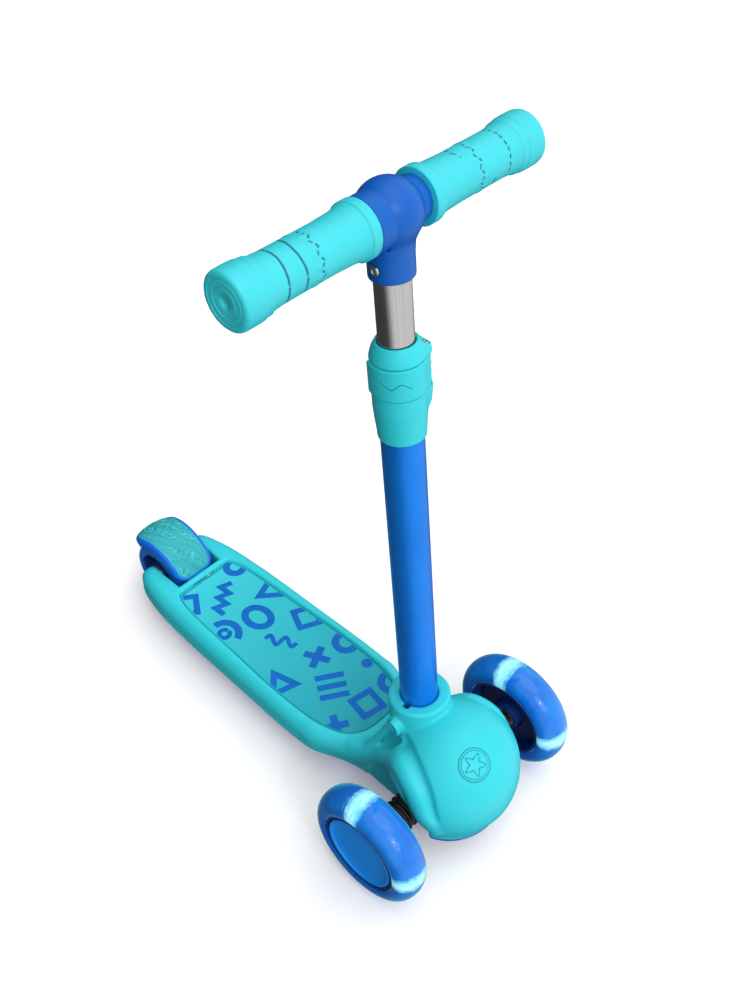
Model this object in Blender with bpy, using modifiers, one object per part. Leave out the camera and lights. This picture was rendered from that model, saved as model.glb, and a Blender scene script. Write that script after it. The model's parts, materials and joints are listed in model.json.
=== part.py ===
"""Toddler kick scooter: three wheels, lean-to-steer truck and a height-adjustable T-bar.

+X runs forward, +Y to the rider's left and +Z up, in metres. The origin lies on the floor
under the middle of the scooter. Every piece is one closed solid in its own object.
"""
import math

import bmesh
import bpy
from mathutils import Matrix, Vector

# ---------------------------------------------------------------- driving dimensions
GAP = 0.0003                      # clearance between touching pieces
RUN = 0.00035                     # radial clearance of a shaft in its bore

FRONT_AXLE = Vector((0.187, 0.0, 0.060))
TRACK_HALF = 0.102                # centre plane of each front wheel
FRONT_R = 0.060
FRONT_HALF_WIDTH = 0.018
REAR_AXLE = Vector((-0.2165, 0.0, 0.040))
REAR_R = 0.040
REAR_HALF_WIDTH = 0.0225
AXLE_R = 0.004
AXLE_SEAT = 0.0390                # how far the rear axle's bore runs into each arm
BEARING_R = 0.011
BEARING_WIDTH = 0.007

STEM_FOOT = Vector((0.1542, 0.0, 0.100))
STEM_RAKE = math.radians(6.35)    # the stem leans back from vertical
TUBE_R = 0.017                    # outer stem tube
TUBE_BORE = 0.0153
SLIDER_R = 0.0135                 # inner tube that sets the handlebar height
BAR_R = 0.011
BAR_AT = 0.526                    # handlebar axis, measured along the stem
BAR_HALF = 0.1335
GRIP_END = 0.141
GRIP_START = 0.0262
COLLAR_TOP = 0.0505
CLAMP_BOTTOM = 0.346
CLAMP_TOP = 0.429
CLAMP_R = 0.0207
LEVER_LOW = 0.3880
LEVER_HIGH = 0.4145
HEAD_BOTTOM = 0.4804

PLATE_LOW = 0.027                 # underside of the deck
PLATE_TOP = 0.033
SHELL_LOW = PLATE_TOP + GAP
DECK_TOP = 0.0645
PAD_TOP = 0.0605
PAD_THICK = 0.003
WALL = 0.0035
SLOT_FRONT = -0.1685              # opening between the fork arms for the rear wheel
SLOT_HALF = 0.0285

NOSE_X = 0.199
NOSE_Z = 0.078
NOSE_R = 0.0575
NOSE_RISE = 0.0695
NOSE_DROP = 0.095

LEAN_TILT = math.radians(45)      # lean axis, tilted forward from vertical
BRAKE_PIN = Vector((-0.1630, 0.0, 0.0465))
FENDER_R = 0.0495
BUTTON = Vector((0.147, -0.0305, 0.128))

ROUND = 24                        # facets of a turned piece
TO_LEFT = (-math.pi / 2, 0, 0)    # turns a piece's own +Z to the rider's left
TO_RIGHT = (math.pi / 2, 0, 0)


# ---------------------------------------------------------------- scene and materials
for old in list(bpy.data.objects):
    bpy.data.objects.remove(old, do_unlink=True)


def new_collection(name):
    group = bpy.data.collections.new(name)
    bpy.context.scene.collection.children.link(group)
    return group


PIECES = new_collection("kick_scooter")
CUTTERS = new_collection("cutters")


def plastic(name, colour, roughness=0.4, metallic=0.0):
    mat = bpy.data.materials.new(name)
    mat.use_nodes = True
    shader = mat.node_tree.nodes["Principled BSDF"]
    shader.inputs["Base Color"].default_value = (*colour, 1.0)
    shader.inputs["Roughness"].default_value = roughness
    shader.inputs["Metallic"].default_value = metallic
    mat.diffuse_color = (*colour, 1.0)
    return mat


TURQUOISE = plastic("turquoise_plastic", (0.05, 0.60, 0.70))
TURQUOISE_GRIP = plastic("turquoise_rubber", (0.04, 0.56, 0.66), 0.55)
PAD_GREEN = plastic("pad_rubber", (0.03, 0.45, 0.52), 0.6)
BLUE = plastic("blue_plastic", (0.02, 0.16, 0.74))
BLUE_PAINT = plastic("blue_paint", (0.01, 0.12, 0.62), 0.3, 0.3)
CLEAR_BLUE = plastic("clear_blue_tyre", (0.03, 0.25, 0.85), 0.15)
NAVY = plastic("navy_plastic", (0.01, 0.05, 0.30), 0.4)
BLACK = plastic("black_nylon", (0.02, 0.02, 0.025), 0.5)
STEEL = plastic("steel", (0.62, 0.62, 0.62), 0.3, 1.0)
BRUSHED = plastic("brushed_aluminium", (0.70, 0.69, 0.68), 0.35, 1.0)
WHITE = plastic("white_board", (0.85, 0.88, 0.90), 0.5)


# ---------------------------------------------------------------- building tools
def empty(name, location, rotation=(0, 0, 0)):
    marker = bpy.data.objects.new(name, None)
    marker.location = location
    marker.rotation_euler = rotation
    PIECES.objects.link(marker)
    return marker


def place(name, mesh, mat=None, parent=None, location=(0, 0, 0), rotation=(0, 0, 0)):
    """Links a mesh as a piece, or as a hidden cutter where it has no material."""
    obj = bpy.data.objects.new(name, mesh)
    obj.location = location
    obj.rotation_euler = rotation
    obj.parent = parent
    if mat:
        mesh.materials.append(mat)
        PIECES.objects.link(obj)
    else:
        obj.hide_render = True
        obj.display_type = "WIRE"
        CUTTERS.objects.link(obj)
    return obj


def mesh_of(bm, name):
    mesh = bpy.data.meshes.new(name)
    bmesh.ops.recalc_face_normals(bm, faces=bm.faces)
    bm.to_mesh(mesh)
    bm.free()
    return mesh


def smooth(obj, angle=35):
    obj.data.shade_smooth()
    obj.data.set_sharp_from_angle(angle=math.radians(angle))


def box(name, low, high, **kw):
    bm = bmesh.new()
    bmesh.ops.create_cube(bm, size=1.0)
    low, high = Vector(low), Vector(high)
    bmesh.ops.scale(bm, vec=high - low, verts=bm.verts)
    bmesh.ops.translate(bm, vec=(low + high) / 2, verts=bm.verts)
    return place(name, mesh_of(bm, name), **kw)


def rod(name, radius, start, end, sides=ROUND, **kw):
    """A cylinder along the object's own Z, from height start to height end."""
    bm = bmesh.new()
    bmesh.ops.create_cone(bm, cap_ends=True, segments=sides, radius1=radius,
                          radius2=radius, depth=end - start)
    bmesh.ops.translate(bm, vec=(0, 0, (start + end) / 2), verts=bm.verts)
    return place(name, mesh_of(bm, name), **kw)


def turned(name, profile, closed=False, steps=ROUND, **kw):
    """Turns (radius, height) points round Z; the outer side runs from top to bottom."""
    mesh = bpy.data.meshes.new(name)
    count = len(profile)
    edges = [(i, i + 1) for i in range(count - 1)]
    if closed:
        edges.append((count - 1, 0))
    mesh.from_pydata([(r, 0, h) for r, h in profile], edges, [])
    obj = place(name, mesh, **kw)
    screw = obj.modifiers.new("turn", "SCREW")
    screw.steps = steps
    screw.render_steps = steps
    screw.use_merge_vertices = True
    screw.merge_threshold = 0.00001
    return obj


def sleeve(name, outer, inner, top, bottom, **kw):
    profile = [(outer, top), (outer, bottom), (inner, bottom), (inner, top)]
    return turned(name, profile, closed=True, **kw)


def hull(name, points, bevel=0.0, **kw):
    """The convex solid around some points, with its edges rounded by bevel."""
    bm = bmesh.new()
    for point in points:
        bm.verts.new(point)
    bmesh.ops.convex_hull(bm, input=bm.verts)
    flat = math.radians(1)
    bmesh.ops.dissolve_limit(bm, angle_limit=flat, verts=bm.verts, edges=bm.edges)
    obj = place(name, mesh_of(bm, name), **kw)
    if bevel:
        round_edges(obj, bevel)
    return obj


def round_edges(obj, width, segments=2):
    mod = obj.modifiers.new("round", "BEVEL")
    mod.width = width
    mod.segments = segments
    mod.limit_method = "ANGLE"
    mod.angle_limit = math.radians(40)


def boolean(obj, other, operation):
    mod = obj.modifiers.new(operation.lower(), "BOOLEAN")
    mod.operation = operation
    mod.solver = "EXACT"
    mod.object = other


def cut(obj, *cutters):
    for cutter in cutters:
        boolean(obj, cutter, "DIFFERENCE")


def join(obj, *others):
    for other in others:
        boolean(obj, other, "UNION")


def curve_through(points, per_span=2):
    """A Catmull-Rom curve through the points, open at its ends."""
    padded = [points[0]] + list(points) + [points[-1]]
    out = []
    for i in range(1, len(padded) - 2):
        a, b, c, d = (Vector(p) for p in padded[i - 1:i + 3])
        for step in range(per_span):
            t = step / per_span
            out.append(0.5 * (2 * b + (c - a) * t + (2 * a - 5 * b + 4 * c - d) * t ** 2
                              + (3 * b - a - 3 * c + d) * t ** 3))
    out.append(Vector(points[-1]))
    return out


def mirrored(half):
    """A closed outline from its left half, which runs from the rear to the front."""
    return list(half) + [Vector((p.x, -p.y)) for p in reversed(half)]


def inset_outline(outline, distance):
    """Draws an outline in towards its middle, by distance at its widest and at its ends."""
    rear = min(p.x for p in outline)
    front = max(p.x for p in outline)
    widest = max(p.y for p in outline)
    middle = (rear + front) / 2
    along = 1 - distance / ((front - rear) / 2)
    across = 1 - distance / widest
    return [Vector((middle + (p.x - middle) * along, p.y * across)) for p in outline]


def stacked(name, outline, rows, **kw):
    """A solid whose outline is inset row by row; rows are (height, inset)."""
    bm = bmesh.new()
    rings = []
    for height, distance in rows:
        ring = [bm.verts.new((p.x, p.y, height)) for p in inset_outline(outline, distance)]
        rings.append(ring)
    count = len(outline)
    for low, high in zip(rings, rings[1:]):
        for i in range(count):
            j = (i + 1) % count
            bm.faces.new((low[i], low[j], high[j], high[i]))
    bm.faces.new(rings[0])
    bm.faces.new(rings[-1])
    return place(name, mesh_of(bm, name), **kw)


def wire(name, points, radius, mat, **kw):
    """A round wire through the points, as a mesh with closed ends."""
    data = bpy.data.curves.new(name, "CURVE")
    data.dimensions = "3D"
    data.bevel_depth = radius
    data.bevel_resolution = 2
    data.use_fill_caps = True
    spline = data.splines.new("POLY")
    spline.points.add(len(points) - 1)
    for spot, point in zip(spline.points, points):
        spot.co = (*point, 1.0)
    curve = bpy.data.objects.new(name + "_path", data)
    PIECES.objects.link(curve)
    bpy.context.view_layer.update()
    graph = bpy.context.evaluated_depsgraph_get()
    mesh = bpy.data.meshes.new_from_object(curve.evaluated_get(graph))
    mesh.materials.clear()
    bpy.data.objects.remove(curve, do_unlink=True)
    bm = bmesh.new()
    bm.from_mesh(mesh)
    bmesh.ops.remove_doubles(bm, verts=bm.verts, dist=0.00001)
    bmesh.ops.recalc_face_normals(bm, faces=bm.faces)
    bm.to_mesh(mesh)
    bm.free()
    return place(name, mesh, mat=mat, **kw)


def coil(radius, start, end, turns, per_turn=8):
    """Points of a helix round Z."""
    steps = int(turns * per_turn)
    out = []
    for i in range(steps + 1):
        angle = 2 * math.pi * i / per_turn
        height = start + (end - start) * i / steps
        out.append(Vector((radius * math.cos(angle), radius * math.sin(angle), height)))
    return out


# ---------------------------------------------------------------- joint axes
STEM = empty("stem_axis", STEM_FOOT, (0, -STEM_RAKE, 0))
LEAN = empty("lean_axis", FRONT_AXLE, (0, LEAN_TILT, 0))
TRUCK = empty("truck_axle", FRONT_AXLE)
REAR = empty("rear_wheel_axis", REAR_AXLE, TO_LEFT)
BRAKE = empty("brake_axis", BRAKE_PIN, TO_LEFT)
BUTTON_AXIS = empty("button_axis", BUTTON, TO_LEFT)
BAR = empty("bar_axis", (0, 0, BAR_AT), TO_LEFT)
BAR.parent = STEM


# ---------------------------------------------------------------- wheels
def tyre_profile(radius, half, bore):
    """Half-round tread between two flat side walls, and a cylindrical bore."""
    side = max(radius - 0.8 * half, bore + 0.0012)
    out = [(bore, half * 0.94)]
    steps = 6
    for i in range(steps + 1):
        angle = math.pi / 2 - math.pi * i / steps
        out.append((side + (radius - side) * math.cos(angle), half * math.sin(angle)))
    out.append((bore, -half * 0.94))
    return out


def bearing(name, middle, parent):
    half = BEARING_WIDTH / 2
    return sleeve(name, BEARING_R - GAP, AXLE_R + RUN, middle + half, middle - half, steps=20,
                  mat=STEEL, parent=parent)


def front_wheel(side, sign):
    turn = TO_LEFT if sign > 0 else TO_RIGHT
    spot = FRONT_AXLE + Vector((0, sign * TRACK_HALF, 0))
    axis = empty(f"front_wheel_{side}_axis", spot, turn)
    bore = 0.0415
    turned(f"front_tyre_{side}", tyre_profile(FRONT_R, FRONT_HALF_WIDTH, bore),
           closed=True, steps=32, mat=CLEAR_BLUE, parent=axis)
    rim = bore - GAP
    seat = BEARING_R + 0.0001
    hub = [(rim, 0.0166), (rim, -0.0166), (rim - 0.003, -0.0166), (rim - 0.0035, -0.0035),
           (0.0150, -0.0035), (0.0142, -0.0148), (seat, -0.0148), (seat, -0.0073),
           (0.0094, -0.0073), (0.0094, 0.0002), (seat, 0.0002), (seat, 0.0078),
           (0.0142, 0.0078), (0.0150, -0.0005), (rim - 0.0035, -0.0005), (rim - 0.003, 0.0166)]
    turned(f"front_hub_{side}", hub, closed=True, mat=NAVY, parent=axis)
    sleeve(f"light_ring_{side}", 0.0340, 0.0165, -0.0039, -0.0069, mat=WHITE, parent=axis)
    cap = [(0, 0.0136), (0.012, 0.0136), (0.030, 0.0142), (0.0350, 0.0158), (0.0372, 0.0158),
           (0.0372, 0.0040), (0.0356, 0.0040), (0.0350, 0.0134), (0.028, 0.0124),
           (0.012, 0.0118), (0, 0.0118)]
    turned(f"hub_cap_{side}", cap, mat=BLUE, parent=axis)
    bearing(f"front_bearing_inner_{side}", -0.0110, axis)
    bearing(f"front_bearing_outer_{side}", 0.0040, axis)
    sleeve(f"magnet_sleeve_{side}", 0.0078, AXLE_R + RUN, 0.0001, -0.0071, steps=24,
           mat=STEEL, parent=axis)
    shaft = [(0, 0.0112), (0.0034, 0.0112), (AXLE_R, 0.0104), (AXLE_R, -0.0500), (0, -0.0500)]
    turned(f"front_axle_{side}", shaft, steps=24, mat=STEEL, parent=axis)
    nut = rod(f"front_axle_nut_{side}", 0.0066, 0.0079, 0.0112, sides=6, mat=STEEL, parent=axis)
    cut(nut, rod(f"nut_bore_{side}", AXLE_R + RUN, 0, 0.02, sides=20, parent=axis))


def rear_wheel():
    bore = 0.0262
    turned("rear_tyre", tyre_profile(REAR_R, REAR_HALF_WIDTH, bore), closed=True, steps=28,
           mat=CLEAR_BLUE, parent=REAR)
    rim = bore - GAP
    seat = BEARING_R + 0.0001
    half = REAR_HALF_WIDTH - 0.0015
    inner = half - BEARING_WIDTH - 0.0006
    hub = [(rim, half), (rim, -half), (rim - 0.0025, -half), (rim - 0.003, -0.002),
           (0.0142, -0.002), (0.0142, -half), (seat, -half), (seat, -inner),
           (0.0094, -inner), (0.0094, inner), (seat, inner), (seat, half),
           (0.0142, half), (0.0142, 0.002), (rim - 0.003, 0.002), (rim - 0.0025, half)]
    turned("rear_hub", hub, closed=True, mat=NAVY, parent=REAR)
    middle = inner + BEARING_WIDTH / 2 + GAP
    bearing("rear_bearing_left", middle, REAR)
    bearing("rear_bearing_right", -middle, REAR)
    reach = inner - 0.0002
    sleeve("rear_spacer", 0.0078, AXLE_R + RUN, reach, -reach, steps=24, mat=STEEL, parent=REAR)
    end = AXLE_SEAT - 0.0005
    turned("rear_axle", [(0, end), (AXLE_R - 0.0005, end), (AXLE_R, end - 0.0005),
                         (AXLE_R, -end), (0, -end)], steps=24, mat=STEEL, parent=REAR)


# ---------------------------------------------------------------- truck
ARM_R = 0.008
BOOT_START = 0.0535
BOOT_END = 0.0715
BOOT_R = 0.0160
BARREL_HALF = 0.0150
KINGPIN_R = 0.003


def boot_profile():
    """One arm of the truck: a slim beam and, outside the nose, a ribbed boot."""
    ribs = 3
    pitch = (BOOT_END - BOOT_START) / ribs
    out = [(0, 0.0870), (0.0062, 0.0870), (0.0066, BOOT_END + 0.002), (0.0120, BOOT_END)]
    for i in range(ribs):
        top = BOOT_END - i * pitch
        out += [(BOOT_R, top - 0.2 * pitch), (BOOT_R, top - 0.7 * pitch),
                (BOOT_R - 0.0014, top - pitch)]
    out += [(ARM_R, BOOT_START - 0.0005), (ARM_R, 0), (0, 0)]
    return out


def truck():
    body = rod("truck", 0.0108, -BARREL_HALF, BARREL_HALF, mat=BLACK, parent=LEAN)
    bore = rod("kingpin_bore", KINGPIN_R + RUN, -0.03, 0.03, sides=24, parent=LEAN)
    for side, turn in (("left", TO_LEFT), ("right", TO_RIGHT)):
        arm = turned(f"truck_arm_{side}", boot_profile(), steps=20, parent=TRUCK, rotation=turn)
        join(body, arm)
        cut(body, rod(f"axle_bore_{side}", AXLE_R + RUN, 0.0510, 0.09, sides=24,
                      parent=TRUCK, rotation=turn))
    cut(body, bore)
    smooth(body)
    turned("kingpin_bolt", [(0, 0.0300), (KINGPIN_R, 0.0300), (KINGPIN_R, -0.0238),
                            (0.0052, -0.0238), (0.0052, -0.0272), (0, -0.0272)],
           steps=24, mat=STEEL, parent=LEAN)
    for side, sign in (("left", 1), ("right", -1)):
        spring = coil(0.0052, PLATE_TOP + 0.0012, FRONT_AXLE.z - ARM_R - 0.0012, 3)
        wire(f"steering_spring_{side}", spring, 0.0007, STEEL,
             location=(FRONT_AXLE.x, sign * 0.030, 0))


# ---------------------------------------------------------------- deck outlines
DECK_EDGE = [(-0.2225, 0.0325), (-0.2205, 0.0385), (-0.2120, 0.0450), (-0.1960, 0.0500),
             (-0.1700, 0.0545), (-0.1300, 0.0572), (-0.0900, 0.0585), (-0.0450, 0.0592),
             (0.0000, 0.0602), (0.0400, 0.0605), (0.0640, 0.0590), (0.0780, 0.0545),
             (0.0940, 0.0475), (0.1150, 0.0418), (0.1400, 0.0385), (0.1650, 0.0420),
             (0.1900, 0.0420)]
PAD_EDGE = [(-0.1612, 0.0300), (-0.1590, 0.0350), (-0.1330, 0.0412), (-0.0630, 0.0450),
            (-0.0030, 0.0480), (0.0470, 0.0470), (0.0720, 0.0430), (0.0900, 0.0350),
            (0.0995, 0.0220), (0.1025, 0.0080)]
SCREWS = [(-0.150, 0.036), (-0.020, 0.048), (0.090, 0.034)]


def nose_profile(shrink=0.0, low=SHELL_LOW):
    """Upright round nose: half an ellipsoid above its widest level, a slow taper below."""
    steps = 7
    radius = NOSE_R - shrink
    out = []
    for i in range(steps):
        angle = math.pi / 2 * (1 - i / steps)
        out.append((radius * math.cos(angle), NOSE_Z + (NOSE_RISE - shrink) * math.sin(angle)))
    out[0] = (0, out[0][1])
    below = 3
    for i in range(below + 1):
        height = NOSE_Z + (low - NOSE_Z) * i / below
        out.append((radius * math.sqrt(1 - ((NOSE_Z - height) / NOSE_DROP) ** 2), height))
    out.append((0, low))
    return out


def wedge(low, high, shrink=0.0):
    """Corner points of the neck that rises from the deck to the stem collar."""
    s = shrink
    return [(x, sign * y, z)
            for x, y, z in ((0.1035 + s, 0.036 - s, low), (0.200, 0.040 - s, low),
                            (0.1265 + s, 0.0235 - s, high - s), (0.176, 0.0235 - s, high - s))
            for sign in (1, -1)]


def deck_shell(deck, pad):
    rows = [(SHELL_LOW, 0.0005), (0.042, 0.0), (0.0545, 0.0028), (0.0615, 0.0082),
            (DECK_TOP, 0.0165)]
    shell = stacked("deck_shell", deck, rows, mat=TURQUOISE)
    nose = turned("nose", nose_profile(), location=(NOSE_X, 0, 0), steps=32)
    neck = hull("neck", wedge(0.050, 0.1385), bevel=0.006)
    collar = turned("collar", [(0, COLLAR_TOP), (0.0255, COLLAR_TOP), (0.0275, COLLAR_TOP - 0.002),
                               (0.0285, 0.0400), (0.0265, 0.0330), (0.0265, 0), (0, 0)],
                    parent=STEM)
    boss = rod("button_boss", 0.0085, -0.0020, 0.0250, parent=BUTTON_AXIS, sides=24)
    join(shell, nose, neck, collar, boss)

    # The shell is hollow from below; the socket, the bosses and the ribs stay in it.
    socket_bottom = -0.0135
    roof = PAD_TOP - PAD_THICK - 0.0040
    hollow = stacked("deck_hollow", deck, [(0.020, WALL), (0.046, WALL + 0.001),
                                           (roof, WALL + 0.0035)])
    join(hollow, turned("nose_hollow", nose_profile(WALL, 0.0215), steps=24,
                        location=(NOSE_X, 0, 0)),
         hull("neck_hollow", wedge(0.0195, 0.1240, WALL + 0.001)))
    keep = [rod("socket_wall", 0.0207, socket_bottom, 0.080, parent=STEM),
            rod("kingpin_boss", 0.0080, 0.0166, 0.120, sides=24, parent=LEAN),
            rod("button_wall", 0.0095, -0.010, 0.030, parent=BUTTON_AXIS, sides=24),
            box("slot_wall", (-0.240, -SLOT_HALF - 0.003, 0.010),
                (SLOT_FRONT + 0.003, SLOT_HALF + 0.003, 0.07)),
            box("rib_rear", (-0.105, -0.08, 0.010), (-0.1025, 0.08, 0.07)),
            box("rib_middle", (-0.035, -0.08, 0.010), (-0.0325, 0.08, 0.07)),
            box("rib_front", (0.040, -0.08, 0.010), (0.0425, 0.08, 0.07)),
            box("axle_web", (REAR_AXLE.x - 0.008, -0.05, 0.010), (REAR_AXLE.x + 0.008, 0.05, 0.07))]
    for side, sign in (("left", 1), ("right", -1)):
        inner, outer = sorted((sign * 0.0140, sign * 0.0170))
        keep.append(box(f"pin_rib_{side}", (-0.175, inner, 0.010), (-0.150, outer, 0.07)))
        for i, (x, y) in enumerate(SCREWS):
            keep.append(rod(f"screw_boss_{i}_{side}", 0.0045, 0.010, 0.07, sides=10,
                            location=(x, sign * y, 0)))
    cut(hollow, *keep)

    # Openings, bores and recesses.
    cutters = [hollow,
               rod("stem_socket", TUBE_R + 0.0004, -0.0100, 0.080, parent=STEM,
                   rotation=(0, 0, math.pi / ROUND)),
               stacked("pad_recess", pad, [(PAD_TOP - PAD_THICK - GAP, -GAP), (0.08, -GAP)]),
               box("wheel_slot", (-0.240, -SLOT_HALF, 0.010), (SLOT_FRONT, SLOT_HALF, 0.08)),
               box("knuckle_notch", (SLOT_FRONT - 0.002, -0.0138, 0.010), (-0.152, 0.0138, 0.0592)),
               rod("pin_hole", 0.0023, -0.0190, 0.0190, sides=16, parent=BRAKE),
               rod("rear_axle_bore", AXLE_R + RUN, -AXLE_SEAT, AXLE_SEAT, sides=24, parent=REAR),
               rod("kingpin_hole", KINGPIN_R + RUN, 0.0100, 0.0310, sides=24, parent=LEAN),
               rod("button_bore", 0.0062, -0.0040, 0.0080, sides=24, parent=BUTTON_AXIS),
               rod("pusher_bore", 0.0034, 0.0060, 0.0160, sides=16, parent=BUTTON_AXIS)]
    for side, turn, sign in (("left", TO_LEFT, 1), ("right", TO_RIGHT, -1)):
        cutters.append(rod(f"side_flat_{side}", 0.0290, 0.0490, 0.075, parent=TRUCK,
                           rotation=turn))
        cutters.append(rod(f"arm_opening_{side}", 0.0172, 0.020, 0.060, parent=TRUCK,
                           rotation=turn))
        low, high = sorted((sign * 0.0290, sign * AXLE_SEAT))
        cutters.append(box(f"axle_groove_{side}", (REAR_AXLE.x - AXLE_R, low, 0.010),
                           (REAR_AXLE.x + AXLE_R, high, REAR_AXLE.z)))
        for i, (x, y) in enumerate(SCREWS):
            cutters.append(rod(f"screw_hole_{i}_{side}", 0.0016, 0.010, 0.0480, sides=12,
                               location=(x, sign * y, 0)))
    cut(shell, *cutters)
    smooth(shell)


def base_plate(deck):
    plate = stacked("base_plate", deck, [(PLATE_LOW, 0.0030), (0.0290, 0.0012),
                                         (PLATE_TOP, 0.0006)], mat=BLUE)
    low = nose_profile(0.0008)[-2][0]
    disc = turned("nose_plate", [(0, PLATE_TOP), (low, PLATE_TOP), (low - 0.0006, 0.0290),
                                 (low - 0.0024, PLATE_LOW), (0, PLATE_LOW)],
                  location=(NOSE_X, 0, 0), steps=32)
    bracket = hull("kingpin_bracket", [(x, y, z) for x, z in ((0.1560, 0.028), (0.1725, 0.028),
                                                              (0.1725, 0.049), (0.1660, 0.0520),
                                                              (0.1560, 0.046))
                                       for y in (-0.011, 0.011)])
    join(plate, disc, bracket)
    head_room = rod("bolt_head_room", 0.0058, -0.070, -0.0236, sides=24, parent=LEAN)
    cut(plate, box("plate_slot", (-0.240, -SLOT_HALF, 0.010), (SLOT_FRONT, SLOT_HALF, 0.05)),
        rod("bracket_bore", KINGPIN_R + RUN, -0.040, 0.020, sides=24, parent=LEAN), head_room)
    for side, sign in (("left", 1), ("right", -1)):
        join(plate, rod(f"spring_seat_{side}", 0.0035, 0.030, 0.0380, sides=16,
                        location=(FRONT_AXLE.x, sign * 0.030, 0)))
        low_y, high_y = sorted((sign * 0.0295, sign * (AXLE_SEAT - GAP)))
        join(plate, box(f"axle_prop_{side}", (REAR_AXLE.x - 0.0035, low_y, 0.030),
                        (REAR_AXLE.x + 0.0035, high_y, REAR_AXLE.z - AXLE_R - GAP)))
        for i, (x, y) in enumerate(SCREWS):
            spot = (x, sign * y, 0)
            cut(plate, rod(f"plate_hole_{i}_{side}", 0.0016, 0.020, 0.040, sides=12, location=spot),
                rod(f"head_recess_{i}_{side}", 0.0042, 0.020, 0.0295, sides=16, location=spot))
            turned(f"base_screw_{i + 1}_{side}",
                   [(0, 0.0460), (0.0008, 0.0460), (0.0013, 0.0440), (0.0013, 0.0292),
                    (0.0037, 0.0292), (0.0032, 0.0272), (0, 0.0272)],
                   steps=12, mat=STEEL, location=spot)
    smooth(plate)


# ---------------------------------------------------------------- foot brake
def arc_channel(name, radius, drop, half, start, end, thick, **kw):
    """A channel bent round the wheel axis: a U-shaped section spun through an arc."""
    bm = bmesh.new()
    section = [(radius - drop, half), (radius, half), (radius, -half), (radius - drop, -half)]
    if not drop:
        section = section[1:3]
    verts = [bm.verts.new((r, 0, h)) for r, h in section]
    edges = [bm.edges.new(pair) for pair in zip(verts, verts[1:])]
    turn = Matrix.Rotation(math.radians(-start), 3, "Z")
    bmesh.ops.rotate(bm, verts=verts, cent=(0, 0, 0), matrix=turn)
    bmesh.ops.spin(bm, geom=verts + edges, cent=(0, 0, 0), axis=(0, 0, 1),
                   angle=-math.radians(end - start), steps=16, use_merge=False)
    obj = place(name, mesh_of(bm, name), parent=REAR, **kw)
    outward = sum(f.normal.dot(Vector((f.center.x, f.center.y, 0))) for f in outer_faces(obj))
    skin = obj.modifiers.new("skin", "SOLIDIFY")
    skin.thickness = thick
    skin.offset = -1 if outward > 0 else 1
    skin.use_even_offset = True
    return obj


def outer_faces(obj):
    return [f for f in obj.data.polygons if abs(f.normal.z) < 0.5]


def foot_brake():
    start, end = 22, 143.9
    half = 0.0256
    fender = arc_channel("brake_fender", FENDER_R, 0.0088, half, start, end, 0.0026, mat=BLUE)
    foot_top = (0.0460, 0.0170)
    to_pin = BRAKE_PIN - REAR_AXLE
    points = []
    for (x, z), radius in ((foot_top, 0.0022), ((to_pin.x, to_pin.z), 0.0042)):
        for i in range(12):
            angle = 2 * math.pi * i / 12
            for y in (-0.0132, -0.0003):
                points.append((x + radius * math.cos(angle), y, z + radius * math.sin(angle)))
    foot = hull("fender_foot", points, location=REAR_AXLE)
    shoe = turned("brake_shoe", [(0.0480, 0.0150), (0.0480, -0.0150), (0.0445, -0.0150),
                                 (0.0445, 0.0150)], closed=True, parent=REAR)
    boolean(shoe, box("shoe_span", (-0.012, -0.02, 0.030), (0.012, 0.02, 0.060),
                      location=REAR_AXLE), "INTERSECT")
    join(fender, foot, shoe)
    recess = arc_channel("insert_recess", FENDER_R + 0.002, 0, half - 0.0042, start + 6, end - 6,
                         0.0029)
    cut(fender, recess, rod("knuckle_bore", 0.0023, -0.03, 0.03, sides=16, parent=BRAKE))
    smooth(fender)
    insert = arc_channel("fender_insert", FENDER_R + 0.0002, 0, half - 0.0045, start + 6.5, end - 6.5,
                         0.0008, mat=PAD_GREEN)
    smooth(insert)
    rod("brake_pin", 0.0020, -0.0185, 0.0185, sides=16, mat=STEEL, parent=BRAKE)
    turns = coil(0.0036, 0.0014, 0.0118, 3.5)
    lead_in = [Vector((0.0036, -0.0070, 0.0014))]
    lead_out = [Vector((-0.0036, -0.0040, 0.0118)), Vector((-0.0036, -0.0075, 0.0118))]
    wire("brake_spring", lead_in + turns + lead_out, 0.0006, STEEL, parent=BRAKE)


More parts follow.
